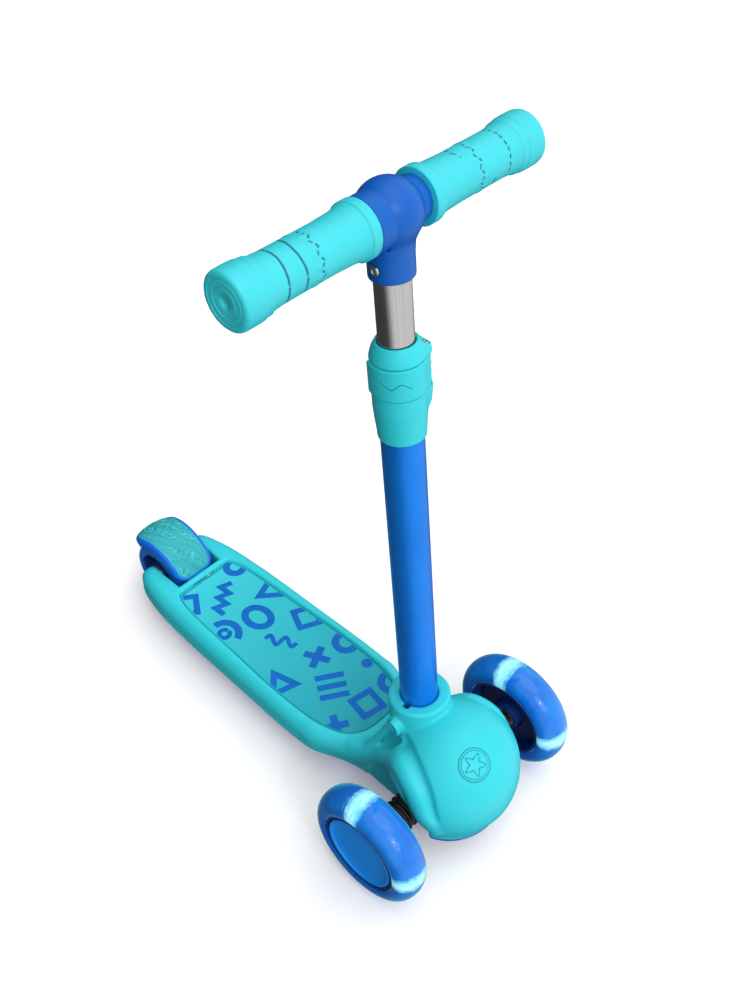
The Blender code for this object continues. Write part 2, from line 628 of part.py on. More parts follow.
# ---------------------------------------------------------------- stem
def stem():
    tube = sleeve("stem_tube", TUBE_R, TUBE_BORE, 0.4225, -0.0095, mat=BLUE_PAINT, parent=STEM)
    cut(tube, rod("snap_hole", 0.0034, 0.0060, 0.0200, sides=16, parent=BUTTON_AXIS))
    smooth(tube)
    strip = [(-0.0131, -0.0140), (-0.0121, -0.0140), (-0.0075, 0.0160), (0.0075, 0.0160),
             (0.0121, -0.0140), (0.0131, -0.0140), (0.0087, 0.0172), (-0.0087, 0.0172)]
    bm = bmesh.new()
    face = bm.faces.new([bm.verts.new((-0.0035, y, -z)) for y, z in strip])
    out = bmesh.ops.extrude_face_region(bm, geom=[face])
    moved = [v for v in out["geom"] if isinstance(v, bmesh.types.BMVert)]
    bmesh.ops.translate(bm, vec=(0.0070, 0, 0), verts=moved)
    spring = place("snap_spring", mesh_of(bm, "snap_spring"), mat=STEEL,
                   location=(BUTTON.x + 0.0015, 0, BUTTON.z - 0.011))
    join(spring, rod("snap_pin", 0.0030, 0.0102, 0.0178, sides=16, parent=BUTTON_AXIS))

    turned("release_button", [(0, 0.0098), (0.0026, 0.0098), (0.0026, 0.0040),
                              (0.0056, 0.0040), (0.0056, 0.0004), (0.0046, 0), (0, 0)],
           steps=24, mat=NAVY, parent=BUTTON_AXIS)
    wire("button_spring", coil(0.0041, 0.0047, 0.0073, 2), 0.0004, STEEL, parent=BUTTON_AXIS)
    sleeve("tube_bush", 0.0149, 0.0140, 0.4220, 0.3800, mat=BLACK, parent=STEM)


# ---------------------------------------------------------------- quick-release clamp
PIN_TURN = math.radians(55)       # the lever's pin stands to the front left of the stem
PIN_OUT = 0.0205
PIN_R = 0.0014
KNUCKLE_R = 0.0031
LEVER_START = 50
LEVER_END = -128


def arc_band(name, radius, thick, low, high, start, end, **kw):
    """A wall bent round the stem, from one angle to another, in degrees."""
    bm = bmesh.new()
    steps = 16
    rows = []
    for i in range(steps + 1):
        angle = math.radians(start + (end - start) * i / steps)
        c, s = math.cos(angle), math.sin(angle)
        corners = ((radius, low), (radius + thick, low), (radius + thick, high), (radius, high))
        rows.append([bm.verts.new((r * c, r * s, h)) for r, h in corners])
    for a, b in zip(rows, rows[1:]):
        for i in range(4):
            bm.faces.new((a[i], a[(i + 1) % 4], b[(i + 1) % 4], b[i]))
    bm.faces.new(rows[0])
    bm.faces.new(rows[-1])
    return place(name, mesh_of(bm, name), parent=STEM, **kw)


def clamp():
    pin_at = (PIN_OUT * math.cos(PIN_TURN), PIN_OUT * math.sin(PIN_TURN), 0)
    bore = TUBE_R + 0.0004
    lip = SLIDER_R + 0.0008
    body = turned("clamp_body", [(0.0158, CLAMP_TOP), (0.0180, 0.4245), (CLAMP_R, 0.4170),
                                 (CLAMP_R, 0.3740), (0.0198, 0.3620), (0.0180, CLAMP_BOTTOM),
                                 (bore, CLAMP_BOTTOM), (bore, 0.4230), (lip, 0.4230),
                                 (lip, CLAMP_TOP)], closed=True, mat=TURQUOISE, parent=STEM)
    lug = turned("pin_lug", [(0, 0.4210), (0.0034, 0.4210), (0.0042, 0.4196), (0.0042, 0.3780),
                             (0.0020, 0.3700), (0, 0.3700)], steps=20, parent=STEM,
                 location=pin_at)
    cut(lug, rod("lug_tube_room", bore + 0.0002, 0.340, 0.430, parent=STEM))
    join(body, lug)
    recess = arc_band("lever_recess", 0.0187, 0.010, LEVER_LOW - 0.0006, LEVER_HIGH + 0.0006,
                      LEVER_START + 6, LEVER_END - 5)
    knuckle_room = rod("knuckle_room", 0.0046, LEVER_LOW - 0.0006, LEVER_HIGH + 0.0006, sides=20,
                       parent=STEM, location=pin_at)
    slit = box("clamp_slit", (-0.0010, 0.010, 0.356), (0.0010, 0.030, 0.4190), parent=STEM,
               rotation=(0, 0, math.radians(-12)))
    cut(body, recess, knuckle_room, slit,
        rod("pin_head_seat", 0.0030, 0.4210, 0.4300, sides=16, parent=STEM, location=pin_at),
        rod("pin_bore", PIN_R + GAP, 0.3750, 0.4300, sides=16, parent=STEM, location=pin_at))
    smooth(body)

    lever = arc_band("clamp_lever", 0.0190, 0.0024, LEVER_LOW, LEVER_HIGH, LEVER_START - 12,
                     LEVER_END, mat=TURQUOISE)
    knuckle = rod("lever_knuckle", KNUCKLE_R, LEVER_LOW, LEVER_HIGH, sides=20, parent=STEM,
                  location=pin_at)
    bridge = arc_band("lever_bridge", 0.0190, 0.0030, LEVER_LOW, LEVER_HIGH, LEVER_START,
                      LEVER_START - 16)
    join(lever, bridge, knuckle)
    cut(lever, rod("lever_bore", PIN_R + GAP, 0.3750, 0.4300, sides=16, parent=STEM,
                   location=pin_at))
    smooth(lever)
    turned("clamp_pin", [(0, 0.4228), (0.0022, 0.4228), (0.0026, 0.4222), (0.0026, 0.4213),
                         (PIN_R, 0.4213), (PIN_R, 0.3760), (0, 0.3760)], steps=16, mat=STEEL,
           parent=STEM, location=pin_at)


# ---------------------------------------------------------------- handlebar
def handlebar():
    slider = sleeve("inner_tube", SLIDER_R, 0.0120, 0.5115, 0.1500, mat=BRUSHED, parent=STEM)
    screw_at = (0, 0, 0.4900)
    cut(slider, rod("slider_hole", 0.0026, 0.008, 0.020, sides=16, parent=STEM,
                    location=screw_at, rotation=TO_RIGHT))
    smooth(slider)
    turned("tube_guide", [(0, 0.1640), (0.0112, 0.1640), (0.0116, 0.1630), (0.0116, 0.1496),
                          (0.0148, 0.1496), (0.0148, 0.1440), (0, 0.1440)], mat=BLACK,
           parent=STEM)

    reach = 0.0256
    side = [(0, 0.0), (0.0, reach), (0.0196, reach), (0.0212, 0.0200), (0.0230, 0.0140),
            (0.0240, 0.0070)]
    ball = side[1:] + [(0.0242, 0.0)] + [(r, -h) for r, h in reversed(side[1:])]
    head = turned("t_head", ball, mat=BLUE_PAINT, parent=BAR)
    neck = turned("head_neck", [(0, BAR_AT), (0.0185, BAR_AT), (0.0180, 0.512), (0.0168, 0.500),
                                (0.0168, HEAD_BOTTOM + 0.0012), (0.0158, HEAD_BOTTOM),
                                (0, HEAD_BOTTOM)], parent=STEM)
    join(head, neck)
    cut(head, rod("bar_bore", BAR_R + RUN, -0.04, 0.04, parent=BAR, rotation=(0, 0, math.pi / ROUND)),
        rod("slider_bore", SLIDER_R + RUN, 0.470, 0.5120, parent=STEM),
        rod("head_hole", 0.0026, 0.010, 0.030, sides=16, parent=STEM, location=screw_at,
            rotation=TO_RIGHT),
        rod("head_seat", 0.0048, 0.0156, 0.030, sides=16, parent=STEM, location=screw_at,
            rotation=TO_RIGHT))
    smooth(head)
    turned("head_screw", [(0, 0.0178), (0.0030, 0.0176), (0.0042, 0.0166), (0.0042, 0.0160),
                          (0.0022, 0.0160), (0.0022, 0.0095), (0, 0.0095)], steps=16, mat=STEEL,
           parent=STEM, location=screw_at, rotation=TO_RIGHT)

    sleeve("handlebar_tube", BAR_R, 0.0095, BAR_HALF, -BAR_HALF, mat=STEEL, parent=BAR)
    bore = BAR_R + RUN
    grip = [(0, GRIP_END), (0.0188, GRIP_END), (0.0208, 0.1388), (0.0208, 0.1240),
            (0.0181, 0.1120), (0.0178, 0.0500), (0.0195, 0.0390), (0.0195, 0.0350),
            (0.0210, 0.0340), (0.0210, GRIP_START),
            (bore, GRIP_START), (bore, BAR_HALF + GAP), (0, BAR_HALF + GAP)]
    for side_name, flip in (("left", 0), ("right", math.pi)):
        turned(f"grip_{side_name}", grip, mat=TURQUOISE_GRIP, parent=BAR, rotation=(flip, 0, 0))


# ---------------------------------------------------------------- assembly
def build():
    deck = mirrored(curve_through(DECK_EDGE))
    pad = mirrored(curve_through(PAD_EDGE))
    front_wheel("left", 1)
    front_wheel("right", -1)
    rear_wheel()
    truck()
    deck_shell(deck, pad)
    base_plate(deck)
    stacked("deck_pad", pad, [(PAD_TOP - PAD_THICK, 0), (PAD_TOP - 0.0005, 0), (PAD_TOP, 0.0005)],
            mat=PAD_GREEN)
    foot_brake()
    stem()
    clamp()
    handlebar()
    bpy.context.view_layer.update()


build()
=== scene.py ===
"""Looks of a toddler's three-wheeled kick scooter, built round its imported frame."""

import json
import math

import bmesh
import bpy
import numpy as np
from mathutils import Matrix, Vector, geometry


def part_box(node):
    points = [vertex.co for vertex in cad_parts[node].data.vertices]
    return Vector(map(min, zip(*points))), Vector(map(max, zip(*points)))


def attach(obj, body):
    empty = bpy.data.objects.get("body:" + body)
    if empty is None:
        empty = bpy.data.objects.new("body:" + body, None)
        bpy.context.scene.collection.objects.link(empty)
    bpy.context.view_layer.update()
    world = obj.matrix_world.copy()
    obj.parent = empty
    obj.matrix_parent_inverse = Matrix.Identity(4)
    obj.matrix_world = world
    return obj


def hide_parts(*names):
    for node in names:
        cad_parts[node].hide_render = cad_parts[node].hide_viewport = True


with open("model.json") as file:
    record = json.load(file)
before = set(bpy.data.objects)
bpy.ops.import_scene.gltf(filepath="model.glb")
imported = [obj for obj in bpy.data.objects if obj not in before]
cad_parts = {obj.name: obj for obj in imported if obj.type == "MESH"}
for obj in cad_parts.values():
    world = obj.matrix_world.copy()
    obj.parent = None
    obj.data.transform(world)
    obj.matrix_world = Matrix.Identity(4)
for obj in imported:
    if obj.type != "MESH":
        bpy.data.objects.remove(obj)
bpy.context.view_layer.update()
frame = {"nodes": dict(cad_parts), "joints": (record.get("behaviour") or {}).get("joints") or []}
CAD = frame["nodes"]
JOINTS = {joint["name"]: joint for joint in frame["joints"]}


# ---------------------------------------------------------------- places taken from the frame
def middle(node):
    """Middle of a node's box."""
    low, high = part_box(node)
    return (np.array(low) + np.array(high)) / 2


AXLE = np.array(JOINTS["lean_steer"]["pos_m"], float)
REAR = np.array(JOINTS["rear_wheel_spin"]["pos_m"], float)
BRAKE_PIN = np.array(JOINTS["brake_press"]["pos_m"], float)
TRACK = abs(JOINTS["front_wheel_left_spin"]["pos_m"][1])
UP = np.array(JOINTS["stem_lift"]["axis"], float)
FORWARD = np.cross((0, 1, 0), UP)              # square to the stem, facing the front
STEM_ZERO = 0.100                              # height at which the stem's own length starts
tube_middle = middle("stem_tube")
FOOT = tube_middle + UP * (STEM_ZERO - tube_middle[2]) / UP[2]
LEAN = np.array(JOINTS["lean_steer"]["axis"], float)
BUTTON = np.array([middle("release_button")[0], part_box("release_button")[0][1],
                   middle("release_button")[2]])
PAD_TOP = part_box("deck_pad")[1][2]
PAD_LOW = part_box("deck_pad")[0][2]
PLATE_LOW, PLATE_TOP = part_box("base_plate")[0][2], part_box("deck_shell")[0][2] - 0.0003
DECK_TOP = 0.0645
RAKE = math.asin(-UP[0])                       # the stem leans back


def on_stem(s):
    """The point at a given place along the stem."""
    return FOOT + UP * s


BAR_S = float((middle("handlebar_tube") - FOOT) @ UP)
BAR = on_stem(BAR_S)


# ---------------------------------------------------------------- distance fields
def smin(a, b, k):
    """The lower of two fields, blended over a width k."""
    h = np.clip(0.5 + 0.5 * (b - a) / k, 0, 1)
    return b * (1 - h) + a * h - k * h * (1 - h)


def smax(a, b, k):
    return -smin(-a, -b, k)


def length(*parts):
    return np.sqrt(sum(p * p for p in parts))


def capsule(P, a, b, ra, rb=None):
    """Round-ended rod from a to b whose radius runs from ra to rb."""
    rb = ra if rb is None else rb
    a, b = np.asarray(a, float), np.asarray(b, float)
    ab = b - a
    t = np.clip(((P - a) @ ab) / (ab @ ab), 0, 1)
    return np.linalg.norm(P - a - t[:, None] * ab, axis=1) - (ra + (rb - ra) * t)


def rounded_box(d1, d2, r):
    """Corner of two half spaces, rounded with radius r."""
    q1, q2 = d1 + r, d2 + r
    return np.minimum(np.maximum(q1, q2), 0) + length(np.maximum(q1, 0), np.maximum(q2, 0)) - r


def ellipse_distance(parts, radii):
    """Approximate distance to an ellipse or an ellipsoid."""
    n = length(*(p / r for p, r in zip(parts, radii)))
    g = length(*(p / r ** 2 for p, r in zip(parts, radii)))
    return n * (n - 1) / np.maximum(g, 1e-6)


def along_stem(P):
    """Distance from the stem's axis, and place along it."""
    q = P - FOOT
    s = q @ UP
    return length(q @ FORWARD, q[:, 1]), s


def along_lean(P):
    """Place along the axis that the truck tilts on, and distance from that axis."""
    q = P - AXLE
    lean = q @ LEAN
    return lean, np.linalg.norm(q - lean[:, None] * LEAN, axis=1)


def from_line(P, centre):
    """Distance from the line through a point that runs across the scooter."""
    return length(P[:, 0] - centre[0], P[:, 2] - centre[2])


def catmull(points, per=8):
    """Smooth curve through the points."""
    points = [np.asarray(p, float) for p in points]
    padded = [2 * points[0] - points[1]] + points + [2 * points[-1] - points[-2]]
    out = []
    for a, b, c, d in zip(padded, padded[1:], padded[2:], padded[3:]):
        for i in range(per):
            t = i / per
            out.append(0.5 * (2 * b + (c - a) * t + (2 * a - 5 * b + 4 * c - d) * t * t
                              + (3 * b - a - 3 * c + d) * t ** 3))
    out.append(points[-1])
    return np.array(out)


def closed(half):
    """Closed outline from its left half, run from the rear to the front."""
    return np.vstack([half, (half * [1, -1])[::-1]])


class Outline:
    """Signed distance to a closed outline in a plane, read from a fine grid."""

    def __init__(self, points, margin=0.03, step=0.001):
        points = np.asarray(points, float)
        self.step = step
        self.low = points.min(0) - margin
        count = np.ceil((points.max(0) + margin - self.low) / step).astype(int) + 1
        gx = self.low[0] + np.arange(count[0]) * step
        gy = self.low[1] + np.arange(count[1]) * step
        X, Y = np.meshgrid(gx, gy, indexing="ij")
        best = np.full(X.shape, 1e9)
        inside = np.zeros(X.shape, bool)
        for (ax, ay), (bx, by) in zip(points, np.roll(points, -1, 0)):
            ex, ey = bx - ax, by - ay
            wx, wy = X - ax, Y - ay
            t = np.clip((wx * ex + wy * ey) / max(ex * ex + ey * ey, 1e-12), 0, 1)
            best = np.minimum(best, (wx - t * ex) ** 2 + (wy - t * ey) ** 2)
            if ay != by:
                inside ^= ((ay > Y) != (by > Y)) & (X < ex * (Y - ay) / (by - ay) + ax)
        self.grid = np.sqrt(best) * np.where(inside, -1, 1)

    def __call__(self, x, y):
        fx = np.clip((x - self.low[0]) / self.step, 0, self.grid.shape[0] - 1.001)
        fy = np.clip((y - self.low[1]) / self.step, 0, self.grid.shape[1] - 1.001)
        i, j = fx.astype(int), fy.astype(int)
        u, v = fx - i, fy - j
        g = self.grid
        return ((g[i, j] * (1 - u) + g[i + 1, j] * u) * (1 - v)
                + (g[i, j + 1] * (1 - u) + g[i + 1, j + 1] * u) * v)


def gradient(field, P, step):
    """How steeply the field rises along X, Y and Z."""
    out = np.empty_like(P)
    for k in range(3):
        shift = np.zeros(3)
        shift[k] = step
        out[:, k] = (field(P + shift) - field(P - shift)) / (2 * step)
    return out


def settle(field, P, step, rounds=3):
    """Slides points onto the field's zero level."""
    for _ in range(rounds):
        g = gradient(field, P, step * 0.25)
        move = (field(P) / np.maximum((g * g).sum(1), 0.05))[:, None] * g
        size = np.linalg.norm(move, axis=1)
        P = P - move * np.minimum(1, 0.4 * step / np.maximum(size, 1e-9))[:, None]
    return P


def sample(field, low, counts, step):
    """The field on a grid, worked out in full only near its surface."""
    coarse = 4
    axes = [low[k] + np.arange(counts[k]) * step for k in range(3)]
    cells = [math.ceil((counts[k] - 1) / coarse) for k in range(3)]
    centres = [low[k] + (np.arange(cells[k]) + 0.5) * coarse * step for k in range(3)]
    C = np.stack(np.meshgrid(*centres, indexing="ij"), -1).reshape(-1, 3)
    rough = field(C).reshape(cells)
    near = np.abs(rough) < coarse * step * 1.5
    index = [np.minimum(np.arange(counts[k]) // coarse, cells[k] - 1) for k in range(3)]
    grid = rough[np.ix_(*index)]
    wanted = near[np.ix_(*index)]
    for k in range(3):
        before = [np.maximum(np.arange(counts[j]) - (j == k), 0) // coarse for j in range(3)]
        before = [np.minimum(b, cells[j] - 1) for j, b in enumerate(before)]
        wanted |= near[np.ix_(*before)]
    i, j, k = np.nonzero(wanted)
    grid[i, j, k] = field(np.column_stack([axes[0][i], axes[1][j], axes[2][k]]))
    return grid


def surface_net(field, low, high, step):
    """Vertices and four-sided faces round the zero level of a field."""
    low, high = np.asarray(low, float), np.asarray(high, float)
    counts = np.ceil((high - low) / step).astype(int) + 1
    F = sample(field, low, counts, step)
    F = np.where(np.abs(F) < 1e-9, 1e-9, F)
    cells = counts - 1
    total = int(np.prod(cells))
    stride = np.array([cells[1] * cells[2], cells[2], 1])
    weight = np.zeros(total)
    place = np.zeros((total, 3))
    quads = []
    for axis in range(3):
        a = np.moveaxis(F, axis, 0)[:-1]
        b = np.moveaxis(F, axis, 0)[1:]
        hit = np.argwhere((a < 0) != (b < 0))
        t = a[tuple(hit.T)] / (a[tuple(hit.T)] - b[tuple(hit.T)])
        order = [axis] + [k for k in range(3) if k != axis]
        spot = np.empty((len(hit), 3), int)
        spot[:, order] = hit
        place_hit = spot.astype(float)
        place_hit[:, axis] += t
        u, v = order[1], order[2]
        ring = []
        keep = np.ones(len(hit), bool)
        for du, dv in ((0, 0), (-1, 0), (-1, -1), (0, -1)):
            cell = spot.copy()
            cell[:, u] += du
            cell[:, v] += dv
            fine = ((cell >= 0) & (cell < cells)).all(1)
            keep &= fine
            ids = np.where(fine, cell @ stride, 0)
            ring.append(ids)
            weight += np.bincount(ids[fine], minlength=total)
            for k in range(3):
                place[:, k] += np.bincount(ids[fine], place_hit[fine, k], minlength=total)
        ring = np.column_stack(ring)[keep]
        rising = a[tuple(hit[keep].T)] < 0
        if axis == 1:
            rising = ~rising
        quads.append(np.where(rising[:, None], ring, ring[:, ::-1]))
    quads = np.vstack(quads)
    used = np.unique(quads)
    lookup = np.full(total, -1)
    lookup[used] = np.arange(len(used))
    points = low + place[used] / weight[used, None] * step
    return settle(field, points, step), lookup[quads]


# ---------------------------------------------------------------- mesh helpers
def add_mesh(name, verts, faces, material, body, replaces=(), sharp=None, place=None):
    """A piece that rides on a body, with its finish and the CAD nodes it stands for."""
    mesh = bpy.data.meshes.new(name)
    mesh.from_pydata([tuple(v) for v in verts], [], [tuple(int(i) for i in f) for f in faces])
    mesh.validate()
    mesh.update()
    return add_piece(name, mesh, material, body, replaces, sharp, place)


def add_piece(name, mesh, material, body, replaces=(), sharp=None, place=None):
    """As add_mesh, for a mesh that is already made."""
    obj = bpy.data.objects.new(name, mesh)
    if place:
        obj.matrix_world = place
    bpy.context.scene.collection.objects.link(obj)
    mesh.materials.clear()
    mesh.materials.append(material)
    mesh.polygons.foreach_set("use_smooth", [True] * len(mesh.polygons))
    if sharp:
        mesh.set_sharp_from_angle(angle=math.radians(sharp))
    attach(obj, body)
    if replaces:
        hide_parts(*replaces)
    return obj


def net_piece(name, field, low, high, step, material, body, replaces=()):
    """A piece whose surface is where a distance field is zero."""
    verts, faces = surface_net(field, low, high, step)
    return add_mesh(name, verts, faces, material, body, replaces)


def grid_faces(rows, columns, start=0, wrap=False):
    """Four-sided faces between neighbouring rows of vertices."""
    faces = []
    for i in range(rows - 1):
        a, b = start + i * columns, start + (i + 1) * columns
        for j in range(columns if wrap else columns - 1):
            k = (j + 1) % columns
            faces.append((a + j, a + k, b + k, b + j))
    return faces


def mark_painted_cut_shade(obj, values):
    """Tells the finish where to paint shade in a piece's cuts, from 0 to 1 at each vertex."""
    layer = obj.data.attributes.new("cut", "FLOAT", "POINT")
    layer.data.foreach_set("value", np.asarray(values, np.float32))


def eased(points, radius, steps=3):
    """The corners of an open line, rounded."""
    points = [np.asarray(p, float) for p in points]
    out = [points[0]]
    for a, b, c in zip(points, points[1:], points[2:]):
        ab, cb = a - b, c - b
        la, lc = np.linalg.norm(ab), np.linalg.norm(cb)
        reach = min(radius, la * 0.45, lc * 0.45)
        p, q = b + ab / la * reach, b + cb / lc * reach
        for i in range(steps + 1):
            t = i / steps
            out.append((1 - t) ** 2 * p + 2 * t * (1 - t) * b + t * t * q)
    out.append(points[-1])
    return out


def axes_of(direction, toward=(1, 0, 0)):
    """Right-handed axes whose third is the direction and whose first faces a way."""
    e3 = np.asarray(direction, float) / np.linalg.norm(direction)
    e1 = np.asarray(toward, float) - e3 * (np.asarray(toward, float) @ e3)
    e1 /= np.linalg.norm(e1)
    return np.array([e1, np.cross(e3, e1), e3])


def turned(profile, steps=96, looped=False, shape=None):
    """A profile of (radius, height) points turned round Z."""
    profile = [(float(r), float(h)) for r, h in profile]
    verts, rows = [], []
    for r, h in profile:
        if r < 1e-7:
            rows.append([len(verts)])
            verts.append((0.0, 0.0, h))
            continue
        row = []
        for i in range(steps):
            angle = 2 * math.pi * i / steps
            radius = r if shape is None else shape(r, h, angle)
            row.append(len(verts))
            verts.append((radius * math.cos(angle), radius * math.sin(angle), h))
        rows.append(row)
    faces = []
    pairs = list(zip(rows, rows[1:])) + ([(rows[-1], rows[0])] if looped else [])
    for a, b in pairs:
        if len(a) == 1 and len(b) == 1:
            continue
        for i in range(steps):
            j = (i + 1) % steps
            if len(a) == 1:
                faces.append((a[0], b[j], b[i]))
            elif len(b) == 1:
                faces.append((a[i], a[j], b[0]))
            else:
                faces.append((a[i], a[j], b[j], b[i]))
    return np.array(verts), faces


def outward(verts, faces):
    """The faces, turned over if they make a solid of negative volume."""
    verts = np.asarray(verts)
    volume = 0.0
    for f in faces:
        a = verts[f[0]]
        for b, c in zip(f[1:], f[2:]):
            volume += a @ np.cross(verts[b], verts[c])
    return faces if volume > 0 else [tuple(reversed(f)) for f in faces]


def turned_piece(name, profile, origin, axes, material, body, slot, replaces=(), sharp=40, **kw):
    """A turned piece whose own Z is the third of the axes."""
    verts, faces = turned(profile, **kw)
    place = Matrix(axes.tolist()).transposed().to_4x4()
    place.translation = Vector(origin)
    return add_mesh(name, verts, outward(verts, faces), material, body, replaces, sharp, place)


# ---------------------------------------------------------------- materials
class Finish:
    """A Principled material whose detail comes from nodes in the piece's own coordinates."""

    def __init__(self, name, **values):
        self.material = bpy.data.materials.new(name)
        self.material.use_nodes = True
        tree = self.material.node_tree
        self.nodes, self.links = tree.nodes, tree.links
        self.shader = self.nodes["Principled BSDF"]
        self.place = self.add("ShaderNodeTexCoord").outputs["Object"]
        for socket, value in values.items():
            self.shader.inputs[socket.replace("_", " ")].default_value = value

    def add(self, kind, inputs=None, **settings):
        node = self.nodes.new(kind)
        for key, value in settings.items():
            setattr(node, key, value)
        for key, value in (inputs or {}).items():
            self.feed(node.inputs[key], value)
        return node

    def feed(self, socket, value):
        if isinstance(value, bpy.types.NodeSocket):
            self.links.new(value, socket)
        else:
            socket.default_value = value

    def set(self, name, value):
        self.feed(self.shader.inputs[name], value)

    def math(self, operation, a, b=0.0, c=0.0):
        return self.add("ShaderNodeMath", {0: a, 1: b, 2: c}, operation=operation).outputs[0]

    def noise(self, scale, detail=3.0, roughness=0.5, place=None, stretch=None):
        place = place or self.place
        if stretch:
            place = self.add("ShaderNodeVectorMath", {0: place, 1: stretch},
                             operation="MULTIPLY").outputs[0]
        node = self.add("ShaderNodeTexNoise", {"Vector": place, "Scale": scale, "Detail": detail,
                                               "Roughness": roughness})
        return node.outputs["Fac"]

    def voronoi(self, scale, feature="F1"):
        node = self.add("ShaderNodeTexVoronoi", {"Vector": self.place, "Scale": scale},
                        feature=feature)
        return node.outputs["Distance"]

    def between(self, value, low, high, to_low=0.0, to_high=1.0):
        node = self.add("ShaderNodeMapRange", {"Value": value, "From Min": low, "From Max": high,
                                               "To Min": to_low, "To Max": to_high}, clamp=True)
        return node.outputs["Result"]

    def cloud(self, scale, detail=3.0, roughness=0.5, to=(0.0, 1.0), span=(0.3, 0.7)):
        """Noise that runs between two values."""
        return self.between(self.noise(scale, detail, roughness), *span, *to)

    def mix(self, factor, a, b):
        node = self.add("ShaderNodeMix", data_type="RGBA")
        self.feed(node.inputs[0], factor)
        self.feed(node.inputs[6], colour(a) if isinstance(a, tuple) else a)
        self.feed(node.inputs[7], colour(b) if isinstance(b, tuple) else b)
        return node.outputs[2]

    def relief(self, *heights, distance=0.0001, strength=0.5):
        """Bump from one or more height values."""
        total = heights[0]
        for height in heights[1:]:
            total = self.math("ADD", total, height)
        node = self.add("ShaderNodeBump", {"Height": total, "Distance": distance,
                                           "Strength": strength})
        self.set("Normal", node.outputs["Normal"])

    def dressed(self, base, roughness, *heights, distance, strength):
        """The material, given its colour, roughness and bump."""
        self.set("Base Color", base)
        self.set("Roughness", roughness)
        self.relief(*heights, distance=distance, strength=strength)
        return self.material

    def attribute(self, name):
        return self.add("ShaderNodeAttribute", attribute_name=name).outputs["Fac"]

    def axis(self, k):
        return self.add("ShaderNodeSeparateXYZ", {0: self.place}).outputs[k]


def colour(rgb):
    return (*rgb[:3], 1.0)


def shade(rgb, factor):
    return tuple(min(1.0, c * factor) for c in rgb)


TURQUOISE = (0.034, 0.620, 0.700)
TURQUOISE_DEEP = (0.014, 0.520, 0.600)
BLUE = (0.006, 0.150, 0.740)
NAVY = (0.002, 0.035, 0.220)


def moulded(name, base, deep, roughness=0.38, grain=1500.0, cut=False):
    """Injection-moulded plastic: fine satin grain, faint flow marks, uneven gloss, and painted shade
    in its cuts where asked.
    """
    m = Finish(name, Roughness=roughness, Specular_IOR_Level=0.25)
    flow = m.cloud(14.0, 2.0, 0.5, (0.0, 0.22))
    speck = m.cloud(420.0, 2.0, 0.6, (0.0, 0.05), (0.35, 0.65))
    surface = m.mix(m.math("ADD", flow, speck), base, deep)
    # Painted shade: where the piece is marked as cut, the colour is darkened.
    if cut:
        surface = m.mix(m.attribute("cut"), surface, shade(deep, 0.55))
    gloss = m.math("ADD", m.cloud(60.0, 4.0, 0.6, (-0.04, 0.05)), roughness)
    return m.dressed(surface, gloss, m.noise(grain, 2.0), distance=0.00004, strength=0.55)


def grip_rubber():
    """Soft turquoise rubber with a fine pebbled grain and painted shade in its cuts."""
    m = Finish("turquoise_grip_rubber", Roughness=0.5)
    surface = m.mix(m.cloud(30.0, 3.0, 0.55, (0.0, 0.25)), TURQUOISE, TURQUOISE_DEEP)
    # Painted shade: the cuts are darkened nearly to black teal.
    surface = m.mix(m.attribute("cut"), surface, (0.0, 0.13, 0.20))
    pebbles = m.between(m.voronoi(1400.0), 0.0, 0.6)
    return m.dressed(surface, m.cloud(90.0, 3.0, 0.6, (0.42, 0.56)), pebbles,
                     m.noise(500.0, 3.0, 0.6), distance=0.00006, strength=0.5)


def pad_grain(m):
    """Heights of the pad's pebbled surface, which its print shares."""
    return m.voronoi(1100.0, "SMOOTH_F1"), m.noise(300.0, 3.0, 0.6)


def pad_rubber():
    """Grained rubber, darker towards the nose."""
    m = Finish("pad_rubber_grain", Roughness=0.62, Specular_IOR_Level=0.25)
    base = m.mix(m.between(m.axis(0), -0.16, 0.10), (0.040, 0.600, 0.700), (0.010, 0.320, 0.400))
    base = m.mix(m.cloud(22.0, 4.0, 0.6, (0.0, 0.25)), base, (0.018, 0.400, 0.470))
    fleck = m.cloud(900.0, 2.0, 0.7, (0.0, 0.25), (0.55, 0.75))
    return m.dressed(m.mix(fleck, base, (0.10, 0.66, 0.72)), m.cloud(70.0, to=(0.54, 0.70)),
                     *pad_grain(m), distance=0.00012, strength=0.6)


def print_ink():
    """Blue ink that is a little worn through."""
    m = Finish("pad_print_ink", Roughness=0.5, Specular_IOR_Level=0.15)
    ink = m.mix(m.cloud(30.0, 2.0), (0.002, 0.120, 0.480), (0.003, 0.150, 0.560))
    wear = m.cloud(260.0, 5.0, 0.7, (0.0, 0.5), (0.62, 0.80))
    return m.dressed(m.mix(wear, ink, (0.010, 0.330, 0.480)), m.cloud(80.0, to=(0.42, 0.6)),
                     *pad_grain(m), distance=0.0001, strength=0.5)


def painted_tube():
    """Blue powder-coated tube with faint orange peel."""
    m = Finish("blue_painted_tube", Roughness=0.34, Metallic=0.45, Specular_IOR_Level=0.3)
    base = m.mix(m.cloud(35.0), (0.006, 0.230, 0.860), (0.004, 0.200, 0.780))
    return m.dressed(base, m.cloud(120.0, 4.0, 0.6, (0.32, 0.42)), m.noise(700.0, 2.0),
                     distance=0.00003, strength=0.5)


def brushed_metal(name, base, rough):
    """Drawn aluminium: fine lines along the tube and a stretched highlight."""
    m = Finish(name, Metallic=1.0, Roughness=rough, Anisotropic=0.7)
    lines = m.noise(1.0, 4.0, 0.65, stretch=(900.0, 900.0, 9.0))
    m.set("Tangent", m.add("ShaderNodeTangent", direction_type="RADIAL", axis="Z").outputs[0])
    return m.dressed(m.mix(m.between(lines, 0.3, 0.7, 0.0, 0.5), base, shade(base, 0.72)),
                     m.between(lines, 0.3, 0.7, rough * 0.75, rough * 1.3), lines,
                     distance=0.00002, strength=0.4)


